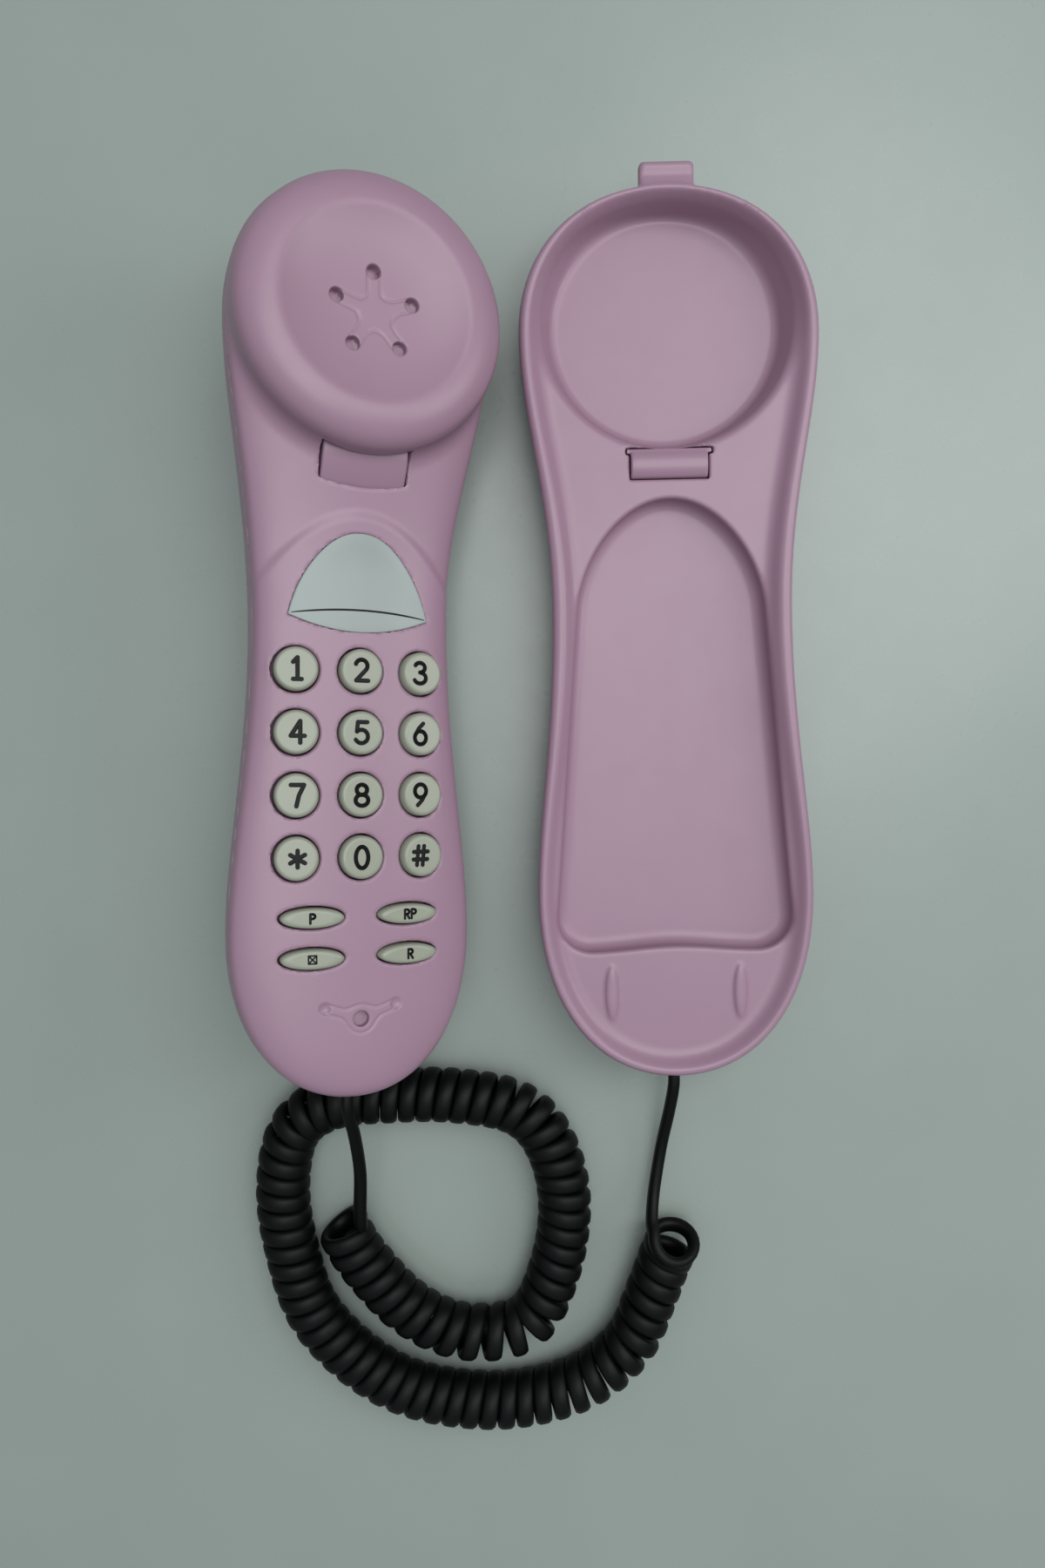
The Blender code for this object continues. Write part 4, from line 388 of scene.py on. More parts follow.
def hollowPoints():
    shoulder, hip = np.array(cradle["shoulder"]), np.array(cradle["hip"])
    down = (hip - shoulder) / np.linalg.norm(hip - shoulder)
    rise = cradle["hollowTop"] - shoulder[1]
    full = cradle["hollowFullness"]
    right = [curvePoints((0, cradle["hollowTop"]), (full * shoulder[0], cradle["hollowTop"]),
                         shoulder - down * full * rise, shoulder, 24), [shoulder]]
    centre = np.array((hip[0] - cradle["corner"], cradle["hollowBottom"] + cradle["corner"]))
    start = math.atan2(down[0], -down[1])
    turns = start - (start + math.pi / 2) * np.linspace(0, 1, 12)
    right.append(centre + cradle["corner"] * np.stack([np.cos(turns), np.sin(turns)], 1))
    width = centre[0]
    for share in np.linspace(1, 0, 9)[1:]:
        bow = cradle["hollowBow"] * ease(1 - share)
        right.append([(share * width, cradle["hollowBottom"] + bow)])
    return bothSides(np.concatenate(right))


def makeCradle():
    outer, inner = flatField(bothSides(sidePoints(cradleForm))), flatField(bothSides(sidePoints(recessForm)))
    hollow = flatField(hollowPoints())
    c = cradle

    def form(x, y, z):
        lean = c["draft"] * np.clip(1 - (z - c["foot"]) / (c["height"] - 1.4 - c["foot"]), 0, 1) ** 1.5
        body = softMax(outer(x, y) + lean, z - c["height"], c["rimRound"])
        body = softMax(body, c["foot"] - z, 1.0)
        lug = boxField(x, y, z, (-c["lugHalf"], 95, c["lugLow"]),
                       (c["lugHalf"], c["lugEnd"], c["lugHigh"]), 1.2)
        body = softMin(body, lug, 1.2)
        lean = 0.1 * (c["height"] - z)
        recess = softMax(inner(x, y) + lean, c["deck"] - z, c["deckFillet"])
        body = softMax(body, -recess, c["rimInside"])
        valley = np.hypot(y - 103.2, z - 19.4) - 1.4
        body = softMax(body, -np.maximum(valley, np.abs(x) - c["lugHalf"]), 0.6)
        share = np.clip((z - c["cupFloor"]) / (c["deck"] - c["cupFloor"]), -0.2, 1.6)
        away = np.hypot(x, y - c["cupY"] - 0.9 * share)
        cup = softMax(away - c["cupRadius"] - (c["cupMouth"] - c["cupRadius"]) * share, c["cupFloor"] - z,
                      c["cupFillet"])
        cup = softMax(cup, inner(x, y) + lean + 0.35, 1.2)
        body = softMax(body, -cup, c["lip"])
        floor = c["deck"] - c["hollowDepth"] - c["hollowDish"] * np.clip(1 - (x / 24) ** 2, 0, 1)
        pit = softMax(hollow(x, y), floor - z, 3.0)
        body = softMax(body, -pit, 0.9)
        for side in (-1, 1):
            rib = np.sqrt(((x - side * c["ribX"]) / c["ribHalf"][0]) ** 2
                          + ((y - c["ribY"]) / c["ribHalf"][1]) ** 2 + 1e-6) - 1
            body = softMin(body, softMax(rib * c["ribHalf"][0], z - c["deck"] - c["ribHeight"], 1.0), 0.2)
        slot = boxField(x, y, z, (-c["slotHalf"], c["slotLow"], c["slotFloor"]),
                        (c["slotHalf"], c["slotHigh"], 22), 0.3)
        ears = boxField(x, y, z, (-c["earHalf"], c["earLow"], c["slotFloor"]),
                        (c["earHalf"], c["earHigh"], 22), 0.3)
        body = softMax(body, -np.minimum(slot, ears), 0.5)
        middle = c["jackMiddle"]
        mouths = np.minimum(
            boxField(x, y, z, (-4.1, -102, middle - 3.3), (4.1, -95, middle + 3.3)),
            boxField(x, y, z, (-17.25, -102, middle - 3.3), (-7.55, -86.5, middle + 3.3)))
        return softMax(body, -mouths, 0.4)

    piece = netPiece("cradleShell", form, (-36, -103, 0.2), (36, 108, 22), 0.52, cradlePlace, made["pink"],
                     flat=lambda points: points[:, 2] < c["foot"] + 0.05)
    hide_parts("base_cradle")
    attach(piece, "base")


# The tab that stands in the slot: a smooth ridge across, with an ear at each end.
def makeHookTab():
    c = cradle
    crest = 0.5 * (c["tabLow"] + c["tabHigh"]) - 0.2

    def form(x, y, z):
        away = (y - crest) / (c["tabHigh"] - crest)
        roof = c["deck"] + c["tabProud"] - 1.7 * np.abs(away) ** 2.2
        body = softMax(boxField(x, y, z, (-c["tabHalf"], c["tabLow"], c["tabFoot"]),
                                (c["tabHalf"], c["tabHigh"], 25), 0.3), (z - roof) * 0.8, 0.5)
        ears = boxField(x, y, z, (-c["earHalf"] + 0.3, c["earLow"] + 0.25, c["tabFoot"]),
                        (c["earHalf"] - 0.3, c["earHigh"] - 0.25, c["deck"] - 0.2), 0.25)
        return softMin(body, ears, 0.3)

    piece = netPiece("hookTab", form, (-12, 36.5, 10), (12, 45.5, 19), 0.3, cradlePlace, made["pink"])
    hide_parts("wall_hook_tab")
    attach(piece, "wall_hook")


handset = dict(place=(-38.66, -2.95, 25.86), pitch=-4.1, roll=24, yaw=-1.15,
               face=8.5, crown=100, neckStart=12, neckEnd=68, headLift=10, backEar=26, backChin=22.4,
               spineHigh=66, spineLow=-70, frontPower=5, backPower=2.4, seam=0.15,
               archTop=27.4, archFall=13.5, archHalf=20.5, archStep=0.6,
               domeRadius=28.3, domeY=67.5, domeHeight=4.3, domeRound=7.8, domeDrop=5.6, domeFoot=1.2,
               dishEdge=20.2, dishDepth=2.9, soundY=66.4, soundRing=8.3, soundHole=1.45, soundTurn=92,
               starArm=1.3, starFillet=2.8, micY=-79.3, micHole=1.7, dimple=(7.7, 2.6), dimpleRadius=1.3,
               dimpleDepth=0.6, smileHalf=0.95, smileRound=3.0, groove=0.2, grooveWidth=0.26)
keys = dict(pitchX=13.6, pitchY=13.2, blockY=-25.1, radius=4.6, clearance=0.4, proud=1.5,
            ovalHalf=(6.6, 2.1), ovalX=10.4, ovalYs=(-57.4, -66), edgeRound=0.75, below=3.2,
            names=(("key_1", "key_2", "key_3"), ("key_4", "key_5", "key_6"),
                   ("key_7", "key_8", "key_9"), ("key_star", "key_0", "key_hash")),
            ovalNames=(("key_pause", "key_redial"), ("key_mute", "key_flash")))
lever = dict(half=9.5, top=44.57, edge=33.2, gap=0.35, crestAt=5.2, crestHeight=0.6, fall=1.5, thick=3.2)
label = dict(top=23.7, corner=(15.2, 6.2), bottom=2.9, sunk=0.8, proud=0.1)
handsetTurn = Euler([math.radians(handset[key]) for key in ("pitch", "roll", "yaw")], "YXZ")
handsetPlace = Matrix.Translation(Vector(handset["place"]) * mm) @ handsetTurn.to_matrix().to_4x4()


# How far the bend raises the body at y.
def lift(y):
    share = (y - handset["neckStart"]) / (handset["neckEnd"] - handset["neckStart"])
    return handset["headLift"] * ease(share)


# The keypad's plateau, crowned across, and the lower ground above its arch.
def faceHeight(x, y):
    arch = handset["archTop"] - handset["archFall"] * (x / handset["archHalf"]) ** 2
    step = handset["archStep"] * ease((y - arch + 1.4) / 3.2)
    return handset["face"] - x * x / (2 * handset["crown"]) - step


# The body's half width for any point: across the middle, and outwards from the spine's two ends.
def widthField():
    side = sidePoints(handsetForm, 40)
    order = np.argsort(side[:, 1])
    high, low = handset["spineHigh"], handset["spineLow"]

    def polar(end, sign):
        points = side[(side[:, 1] - end) * sign >= -1]
        turn = np.arctan2((points[:, 1] - end) * sign, points[:, 0])
        order = np.argsort(turn)
        return turn[order], np.hypot(points[:, 0], points[:, 1] - end)[order]
    upper, lower = polar(high, 1), polar(low, -1)

    def field(x, y):
        x, y = np.broadcast_arrays(x, y)
        middle = np.interp(y, side[order, 1], side[order, 0])
        above = np.interp(np.arctan2(y - high, np.abs(x) + 1e-6), *upper)
        below = np.interp(np.arctan2(low - y, np.abs(x) + 1e-6), *lower)
        width = np.where(y > high, above, np.where(y < low, below, middle))
        reach = np.hypot(x, y - np.clip(y, low, high))
        return reach / width, width
    return field


keepAndWidth = widthField()


# Distance to the pillow that both shells share.
def handsetBody(x, y, z):
    keep, width = keepAndWidth(x, y)
    rise = z - lift(y)
    share = np.clip((y - handset["spineLow"]) / (handset["spineHigh"] - handset["spineLow"]), 0, 1)
    depth = handset["backChin"] + share * (handset["backEar"] - handset["backChin"])
    up = rise > 0
    tall = np.where(up, faceHeight(x, y), depth)
    power = np.where(up, handset["frontPower"], handset["backPower"])
    high = np.maximum(np.abs(rise) / tall, 1e-4)
    wide = np.maximum(keep, 1e-4)
    norm = np.maximum((high ** power + wide ** power) ** (1 / power), 0.05)
    steep = np.sqrt((high ** (power - 1) / tall) ** 2 + (wide ** (power - 1) / width) ** 2)
    return (norm - 1) / np.maximum(norm ** (1 - power) * steep, 0.01)


# Flat distance to the line from a to b.
def capsule(x, y, a, b):
    ex, ey = b[0] - a[0], b[1] - a[1]
    along = np.clip(((x - a[0]) * ex + (y - a[1]) * ey) / (ex * ex + ey * ey), 0, 1)
    return np.hypot(x - a[0] - along * ex, y - a[1] - along * ey)


def soundPlaces():
    for index in range(5):
        turn = math.radians(handset["soundTurn"] + 72 * index)
        across, along = handset["soundRing"] * math.cos(turn), handset["soundRing"] * math.sin(turn)
        yield across, handset["soundY"] + along


# Distance to the outline of the five-armed star that joins the sound holes.
def starLine(x, y):
    star = None
    for hole in soundPlaces():
        arm = capsule(x, y, (0, handset["soundY"]), hole) - handset["starArm"]
        star = arm if star is None else softMin(star, arm, handset["starFillet"])
    return np.abs(star)


# Distance to the outline that joins the two dimples round the microphone's hole.
def smileLine(x, y):
    side, rise = handset["dimple"]
    micY = handset["micY"]
    arms = [capsule(x, y, (sign * side, micY + rise), (0, micY)) - handset["smileHalf"] for sign in (-1, 1)]
    ring = np.hypot(x, y - micY) - handset["smileRound"]
    return np.abs(softMin(softMin(arms[0], arms[1], 2.0), ring, 2.0))


def leverPoints():
    radius = handset["domeY"] - lever["edge"]
    spread = math.asin(lever["half"] / radius)
    turns = spread * np.linspace(1, -1, 15)
    arc = np.stack([radius * np.sin(turns), handset["domeY"] - radius * np.cos(turns)], 1)
    return np.concatenate([[(-lever["half"], lever["top"]), (lever["half"], lever["top"])], arc])


# A tall arch over a shallow bowed foot.
def labelPoints(inset=0, steps=24):
    half, foot = label["corner"][0] - inset, label["corner"][1]
    share = np.linspace(-1, 1, 2 * steps + 1)
    drop = 0.85 * np.abs(share) ** 2.15 + 0.15 * np.abs(share) ** 12
    arch = np.stack([share * half, foot + (label["top"] - inset - foot) * (1 - drop)], 1)
    share = np.linspace(1, -1, steps)[1:-1]
    low = label["bottom"] + inset
    bow = np.stack([share * half, low + (foot - low) * share ** 2], 1)
    return np.concatenate([arch, bow])


# Name, middle, half length and half width of each key.
def keyPlaces():
    for row, names in enumerate(keys["names"]):
        for column, name in enumerate(names):
            yield (name, ((column - 1) * keys["pitchX"], keys["blockY"] + (1.5 - row) * keys["pitchY"]),
                   keys["radius"], keys["radius"])
    for y, names in zip(keys["ovalYs"], keys["ovalNames"]):
        for side, name in zip((-1, 1), names):
            yield name, (side * keys["ovalX"], y), *keys["ovalHalf"]


def makeHandsetShells():
    slot, plate = flatField(leverPoints(), 40), flatField(labelPoints(), 40)
    h = handset
    top = lift(h["domeY"]) + h["face"] + h["domeHeight"]
    foot = lift(h["domeY"]) + h["domeFoot"]

    def openings(x, y):
        best = None
        for _, (kx, ky), half, narrow in keyPlaces():
            a, b = half + keys["clearance"], narrow + keys["clearance"]
            if a == b:
                hole = np.hypot(x - kx, y - ky) - a
            else:
                ring = np.sqrt(((x - kx) / a) ** 2 + ((y - ky) / b) ** 2 + 1e-6)
                grow = np.sqrt(((x - kx) / a ** 2) ** 2 + ((y - ky) / b ** 2) ** 2 + 1e-6) / ring
                hole = (ring - 1) / grow
            best = hole if best is None else np.minimum(best, hole)
        return best

    def front(x, y, z):
        rise = z - lift(y)
        away = np.hypot(x, y - h["domeY"])
        u = np.maximum(away - h["domeRadius"] + h["domeRound"], 0) / h["domeRound"]
        v = np.maximum(z - top + h["domeDrop"], 0) / h["domeDrop"]
        norm = np.maximum(np.sqrt(u * u + v * v), 0.05)
        slope = np.sqrt((u / h["domeRound"]) ** 2 + (v / h["domeDrop"]) ** 2) / norm
        dome = (norm - 1) / np.maximum(slope, 0.1)
        dome = softMax(dome, foot - z, 1.0)
        body = softMin(handsetBody(x, y, z), dome, 1.0 + 2.6 * ease((h["domeY"] - 4 - y) / 26))
        groove = h["groove"] * np.exp(-(starLine(x, y) / h["grooveWidth"]) ** 2)
        dish = top + 0.1 - h["dishDepth"] * (1 - (away / h["dishEdge"]) ** 2.8) - groove
        body = softMax(body, z - dish, 0.3)
        smile = h["groove"] * np.exp(-(smileLine(x, y) / h["grooveWidth"]) ** 2)
        body = body + np.where(rise > 4, smile, 0)
        body = softMax(body, h["seam"] - rise, 0.35)
        ground = faceHeight(x, y)
        body = softMax(body, -np.maximum(openings(x, y), 1.8 - rise), 0.5)
        mic = np.hypot(x, y - h["micY"]) - h["micHole"]
        body = softMax(body, -np.maximum(mic, ground - 1.8 - rise), 0.3)
        sound = None
        for hole in soundPlaces():
            gap = np.hypot(x - hole[0], y - hole[1]) - h["soundHole"]
            sound = gap if sound is None else np.minimum(sound, gap)
        body = softMax(body, -np.maximum(sound, dish - 2.0 - z), 0.3)
        body = softMax(body, -np.maximum(np.maximum(slot(x, y), 1.5 - rise), rise - 9.9), 0.5)
        body = softMax(body, -np.maximum(plate(x, y) - 0.05, ground - label["sunk"] - rise), 0.15)
        ball = (h["dimpleRadius"] ** 2 + h["dimpleDepth"] ** 2) / (2 * h["dimpleDepth"])
        for side in (-1, 1):
            dimple = np.sqrt((x - side * h["dimple"][0]) ** 2 + (y - h["micY"] - h["dimple"][1]) ** 2
                             + (rise - ground - ball + h["dimpleDepth"]) ** 2) - ball
            body = softMax(body, -dimple, 0.3)
        return body

    def back(x, y, z):
        rise = z - lift(y)
        return softMax(handsetBody(x, y, z), rise + h["seam"], 0.35)

    def fine(points):
        dish = np.hypot(points[:, 0], points[:, 1] - h["soundY"]) < 12.5
        chin = np.hypot(points[:, 0], (points[:, 1] - h["micY"] - 0.5) * 1.6) < 12.5
        return (dish & (points[:, 2] > top - 4)) | (chin & (points[:, 2] > 6.5))

    piece = netPiece("handsetFront", front, (-30, -98.5, -0.4), (30, 98.5, 24.2), 0.5, handsetPlace,
                     made["pink"], fine=fine,
                     flat=lambda points: np.abs(points[:, 2] - lift(points[:, 1]) - h["seam"]) < 0.05)
    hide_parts("handset_front_shell")
    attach(piece, "handset")
    piece = netPiece("handsetBack", back, (-30, -98.5, -27), (30, 98.5, 11), 0.6, handsetPlace, made["pink"],
                     flat=lambda points: np.abs(points[:, 2] - lift(points[:, 1]) + h["seam"]) < 0.05)
    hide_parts("handset_back_shell")
    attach(piece, "handset")


# The hook switch's lever: a soft crest across, and a fall towards the earpiece's face.
def makeLever():
    h, v = handset, lever
    inner = h["domeY"] - v["edge"] + v["gap"]
    crest = v["top"] - v["crestAt"]

    def form(x, y, z):
        rise = z - lift(y)
        falling = v["fall"] * ((y - crest) / v["crestAt"]) ** 2
        rising = 0.12 * np.abs(y - crest) ** 1.6
        roof = h["face"] + v["crestHeight"] - np.where(y > crest, falling, rising) - x * x / (2 * h["crown"])
        body = softMax(np.maximum(np.abs(x) - v["half"] + v["gap"], np.abs(y - 36) - 12), rise - roof, 0.6)
        body = softMax(body, y - v["top"] + v["gap"], 0.4)
        body = softMax(body, np.hypot(x, y - h["domeY"]) - inner, 0.5)
        return softMax(body, h["face"] - v["thick"] - rise, 0.3)

    piece = netPiece("hookLever", form, (-10, 30, 5), (10, 46, 20), 0.3, handsetPlace, made["pink"])
    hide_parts("hook_lever")
    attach(piece, "hook_lever")


def makeLabel():
    middle = np.array((0, 10.5))
    rim = labelPoints()
    rings = [(1, -0.4), (1, label["proud"] - 0.1), (0.99, label["proud"] - 0.02), (0.975, label["proud"]),
             (0.8, label["proud"]), (0.6, label["proud"]), (0.4, label["proud"]), (0.2, label["proud"])]
    points, faces, size = [], [], len(rim)
    for keep, high in rings:
        for x, y in middle + (rim - middle) * keep:
            points.append((x, y, handset["face"] - x * x / (2 * handset["crown"]) + lift(y) + high))
    points.append((*middle, handset["face"] + lift(middle[1]) + label["proud"]))
    for ring in range(len(rings) - 1):
        for i in range(size):
            j = (i + 1) % size
            faces.append((ring * size + j, ring * size + i, (ring + 1) * size + i, (ring + 1) * size + j))
    last = (len(rings) - 1) * size
    faces += [(last + (i + 1) % size, last + i, len(points) - 1) for i in range(size)]
    faces.append(tuple(range(size)))
    piece = meshPiece("labelPlate", points, faces, handsetPlace, made["label"])
    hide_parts("label_plate")
    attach(piece, "handset")
    line = []
    for share in np.linspace(-1, 1, 41):
        x = share * 14.6
        y = 6.5 + 1.1 * (1 - share ** 2)
        half = 0.22 * (1 - 0.6 * share ** 4)
        for side in (-1, 1):
            line.append((x, y + side * half, handset["face"] - x * x / (2 * handset["crown"])
                         + lift(y) + label["proud"] + 0.03))
    faces = [(2 * i, 2 * i + 2, 2 * i + 3, 2 * i + 1) for i in range(40)]
    piece = meshPiece("labelLine", line, faces, handsetPlace, made["ink"])
    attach(piece, "handset")


# One tree makes every key cap.
def keyCapTree():
    tree = bpy.data.node_groups.new("keyCap", "GeometryNodeTree")
    tree.interface.new_socket("Geometry", in_out="OUTPUT", socket_type="NodeSocketGeometry")
    kinds = {"Half Length": "Float", "Half Width": "Float", "Height": "Float", "Edge Round": "Float",
             "Material": "Material"}
    sockets = {}
    for name, kind in kinds.items():
        socket = tree.interface.new_socket(name, in_out="INPUT", socket_type="NodeSocket" + kind)
        sockets[name] = socket.identifier
    source, result = addNode(tree, "NodeGroupInput"), addNode(tree, "NodeGroupOutput", (1800, 0))
    can = addNode(tree, "GeometryNodeMeshCylinder", (200, 200), fill_type="TRIANGLE_FAN")
    can.inputs["Vertices"].default_value = 56
    can.inputs["Fill Segments"].default_value = 18
    can.inputs["Radius"].default_value = 1
    can.inputs["Depth"].default_value = 2
    where = addNode(tree, "GeometryNodeInputPosition", (0, -200))
    split = addNode(tree, "ShaderNodeSeparateXYZ", (200, -200))
    tree.links.new(where.outputs[0], split.inputs[0])

    def maths(operation, *values):
        node = addNode(tree, "ShaderNodeMath", operation=operation)
        for socket, value in zip(node.inputs, values):
            if isinstance(value, (int, float)):
                socket.default_value = value
            else:
                tree.links.new(value, socket)
        return node.outputs[0]

    x, y, z = split.outputs
    away = maths("SQRT", maths("ADD", maths("MULTIPLY", x, x), maths("MULTIPLY", y, y)))
    width, rounding = source.outputs["Half Width"], source.outputs["Edge Round"]
    past = maths("SUBTRACT", maths("MULTIPLY", away, width), maths("SUBTRACT", width, rounding))
    share = maths("MAXIMUM", maths("DIVIDE", past, rounding), 0)
    share = maths("MINIMUM", share, 1)
    fall = maths("SUBTRACT", 1, maths("SQRT", maths("SUBTRACT", 1, maths("MULTIPLY", share, share))))
    fall = maths("MULTIPLY", fall, rounding)
    high = maths("SUBTRACT", source.outputs["Height"], fall)
    isTop = maths("GREATER_THAN", z, 0)
    join = addNode(tree, "ShaderNodeCombineXYZ", (1200, -200))
    tree.links.new(maths("MULTIPLY", x, source.outputs["Half Length"]), join.inputs[0])
    tree.links.new(maths("MULTIPLY", y, source.outputs["Half Width"]), join.inputs[1])
    tree.links.new(maths("MULTIPLY", isTop, high), join.inputs[2])
    move = addNode(tree, "GeometryNodeSetPosition", (1300, 200))
    tree.links.new(can.outputs["Mesh"], move.inputs["Geometry"])
    tree.links.new(join.outputs[0], move.inputs["Position"])
    real = addNode(tree, "GeometryNodeRealizeInstances", (1450, 200))
    coat = addNode(tree, "GeometryNodeSetMaterial", (1600, 200))
    tree.links.new(move.outputs[0], real.inputs[0])
    tree.links.new(real.outputs[0], coat.inputs["Geometry"])
    tree.links.new(source.outputs["Material"], coat.inputs["Material"])
    tree.links.new(coat.outputs[0], result.inputs[0])
    return tree, sockets


# On the crowned face, tipped with it.
def keyPlace(x, y):
    z = handset["face"] - x * x / (2 * handset["crown"])
    return (handsetPlace @ Matrix.Translation(Vector((x, y, z)) * mm)
            @ Matrix.Rotation(math.asin(x / handset["crown"]), 4, "Y"))


def makeKeys():
    tree, sockets = keyCapTree()
    below = keys["below"]
    for name, (x, y), half, narrow in keyPlaces():
        holder = bpy.data.objects.new(name + "Cap", bpy.data.meshes.new(name + "Cap"))
        bpy.context.scene.collection.objects.link(holder)
        modifier = holder.modifiers.new("cap", "NODES")
        modifier.node_group = tree
        modifier[sockets["Half Length"]] = half * mm
        modifier[sockets["Half Width"]] = narrow * mm
        modifier[sockets["Height"]] = (below + keys["proud"]) * mm
        modifier[sockets["Edge Round"]] = keys["edgeRound"] * mm
        modifier[sockets["Material"]] = made["ivory"]
        bpy.context.view_layer.update()
        evaluated = holder.evaluated_get(bpy.context.evaluated_depsgraph_get())
        mesh = bpy.data.meshes.new_from_object(evaluated)
        bpy.data.objects.remove(holder)
        mesh.transform(keyPlace(x, y) @ Matrix.Translation((0, 0, -below * mm)))
        mesh.shade_smooth()
        mesh.set_sharp_from_angle(angle=math.radians(50))
        cap = bpy.data.objects.new(name + "Cap", mesh)
        bpy.context.scene.collection.objects.link(cap)
        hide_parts(name)
        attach(cap, name)


# Legends are strokes with round ends; each is drawn in a cell that is 2 wide and 3 high.
legends = dict(cell=1.5, stroke=0.47, small=0.64, smallStroke=0.28, muteStroke=0.17, flat=0.12, sharp=40,
               aside=(0.15, -0.2, -0.7), smallAside=(-0.1, 0.05))


def arc(x, y, wide, high, start, end, steps=14):
    turns = np.radians(np.linspace(start, end, steps))
    return [(x + wide * math.cos(t), y + high * math.sin(t)) for t in turns]


strokes = {
    "1": [[(0.45, 2.35), (1.05, 3), (1.05, 0)], [(0.45, 0), (1.6, 0)]],
    "2": [arc(1, 2.15, 0.85, 0.85, 165, -38) + [(0.2, 0.05), (1.95, 0.05)]],
    "3": [arc(0.95, 2.3, 0.8, 0.7, 155, -90) + arc(0.95, 0.8, 0.95, 0.8, 90, -155)],
    "4": [[(1.4, 0), (1.4, 3), (0.1, 0.95), (2, 0.95)]],
    "5": [[(1.8, 3), (0.45, 3), (0.3, 1.65)] + arc(0.95, 0.97, 0.95, 0.95, 120, -150)],
    "6": [[(1.45, 3), (0.75, 2.3)] + arc(1, 0.95, 0.9, 0.95, 160, 0), arc(1, 0.95, 0.9, 0.95, 0, -200)],
    "7": [[(0.1, 2.95), (1.9, 2.95), (1.2, 1.5), (0.85, 0)]],
    "8": [arc(1, 2.25, 0.75, 0.72, 0, 360, 24), arc(1, 0.78, 0.92, 0.78, 0, 360, 24)],
    "9": [[(0.55, 0), (1.25, 0.7)] + arc(1, 2.05, 0.9, 0.95, -20, 180), arc(1, 2.05, 0.9, 0.95, 180, 340)],
    "0": [arc(1, 1.5, 0.9, 1.5, 0, 360, 32)],
    "star": [[(1 - 1.15 * math.cos(t), 1.5 - 1.15 * math.sin(t)),
              (1 + 1.15 * math.cos(t), 1.5 + 1.15 * math.sin(t))] for t in np.radians((30, 90, 150))],
    "hash": [[(0.4, 0.15), (0.65, 2.85)], [(1.3, 0.15), (1.55, 2.85)], [(-0.15, 0.95), (2.05, 0.95)],
             [(-0.1, 2.05), (2.15, 2.05)]],
    "P": [[(0.3, 0), (0.3, 3)] + arc(1, 2.25, 0.85, 0.75, 90, -90) + [(0.3, 1.5)]],
    "R": [[(0.3, 0), (0.3, 3)] + arc(1, 2.25, 0.85, 0.75, 90, -90) + [(0.3, 1.5)], [(1, 1.5), (1.9, 0)]],
    "mute": [[(0, 0.3), (0, 2.9), (2.6, 2.9), (2.6, 0.3), (0, 0.3)], [(0, 0.3), (2.6, 2.9)],
             [(2.6, 0.3), (0, 2.9)]],
}
words = dict(key_star=["star"], key_hash=["hash"], key_pause=["P"], key_redial=["R", "P"], key_flash=["R"],
             key_mute=["mute"])


# Cuts a stroke at its sharp turns, so that each run keeps its width.
def runs(points):
    run = [points[0]]
    for before, point, after in zip(points, points[1:], points[2:] + [None]):
        run.append(point)
        if after is None:
            continue
        turn = abs(math.atan2(after[1] - point[1], after[0] - point[0])
                   - math.atan2(point[1] - before[1], point[0] - before[0])) % (2 * math.pi)
        if min(turn, 2 * math.pi - turn) > math.radians(legends["sharp"]):
            yield run
            run = [point]
    yield run


def makeLegend(name, x, y, signs, cell, stroke, aside):
    curve = bpy.data.curves.new(name, "CURVE")
    curve.dimensions = "3D"
    curve.bevel_depth = stroke
    curve.bevel_resolution = 2
    curve.use_fill_caps = True
    across = 2.45 * (len(signs) - 1) + (2.6 if signs == ["mute"] else 2)
    for index, sign in enumerate(signs):
        for points in (run for whole in strokes[sign] for run in runs(whole)):
            line = curve.splines.new("POLY")
            line.points.add(len(points) - 1)
            for point, (u, v) in zip(line.points, points):
                point.co = ((u + 2.45 * index - across / 2) * cell, (v - 1.5) * cell, 0, 1)
    holder = bpy.data.objects.new(name, curve)
    bpy.context.scene.collection.objects.link(holder)
    bpy.context.view_layer.update()
    mesh = bpy.data.meshes.new_from_object(holder.evaluated_get(bpy.context.evaluated_depsgraph_get()))
    bpy.data.objects.remove(holder)
    corners = [Vector((u + 2.45 * index - across / 2, v - 1.5, 0)) * cell for index, sign in enumerate(signs)
               for points in strokes[sign] for u, v in points]
    bm = bmesh.new()
    bm.from_mesh(mesh)
    for corner in corners:
        bmesh.ops.create_circle(bm, cap_ends=True, segments=16, radius=stroke,
                                matrix=Matrix.Translation(corner + Vector((0, 0, stroke))))
    bm.to_mesh(mesh)
    bm.free()
    mesh.transform(keyPlace(x, y) @ Matrix.Translation(Vector((*aside, keys["proud"] + 0.01)) * mm)
                   @ Matrix.Diagonal((mm, mm, mm * legends["flat"], 1)))
    mesh.materials.clear()
    mesh.materials.append(made["ink"])
    piece = bpy.data.objects.new(name, mesh)
    bpy.context.scene.collection.objects.link(piece)
    return piece


def makeLegends():
    for name, (x, y), half, narrow in keyPlaces():
        signs = words.get(name, [name[-1]])
        if half == narrow:
            column = round(x / keys["pitchX"]) + 1
            sizes = legends["cell"], legends["stroke"], (legends["aside"][column], 0)
        else:
            stroke = legends["muteStroke" if name == "key_mute" else "smallStroke"]
            sizes = legends["small"], stroke, (legends["smallAside"][int(x > 0)], 0)
        piece = makeLegend("legend" + name[3:].title().replace("_", ""), x, y, signs, *sizes)
        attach(piece, name)


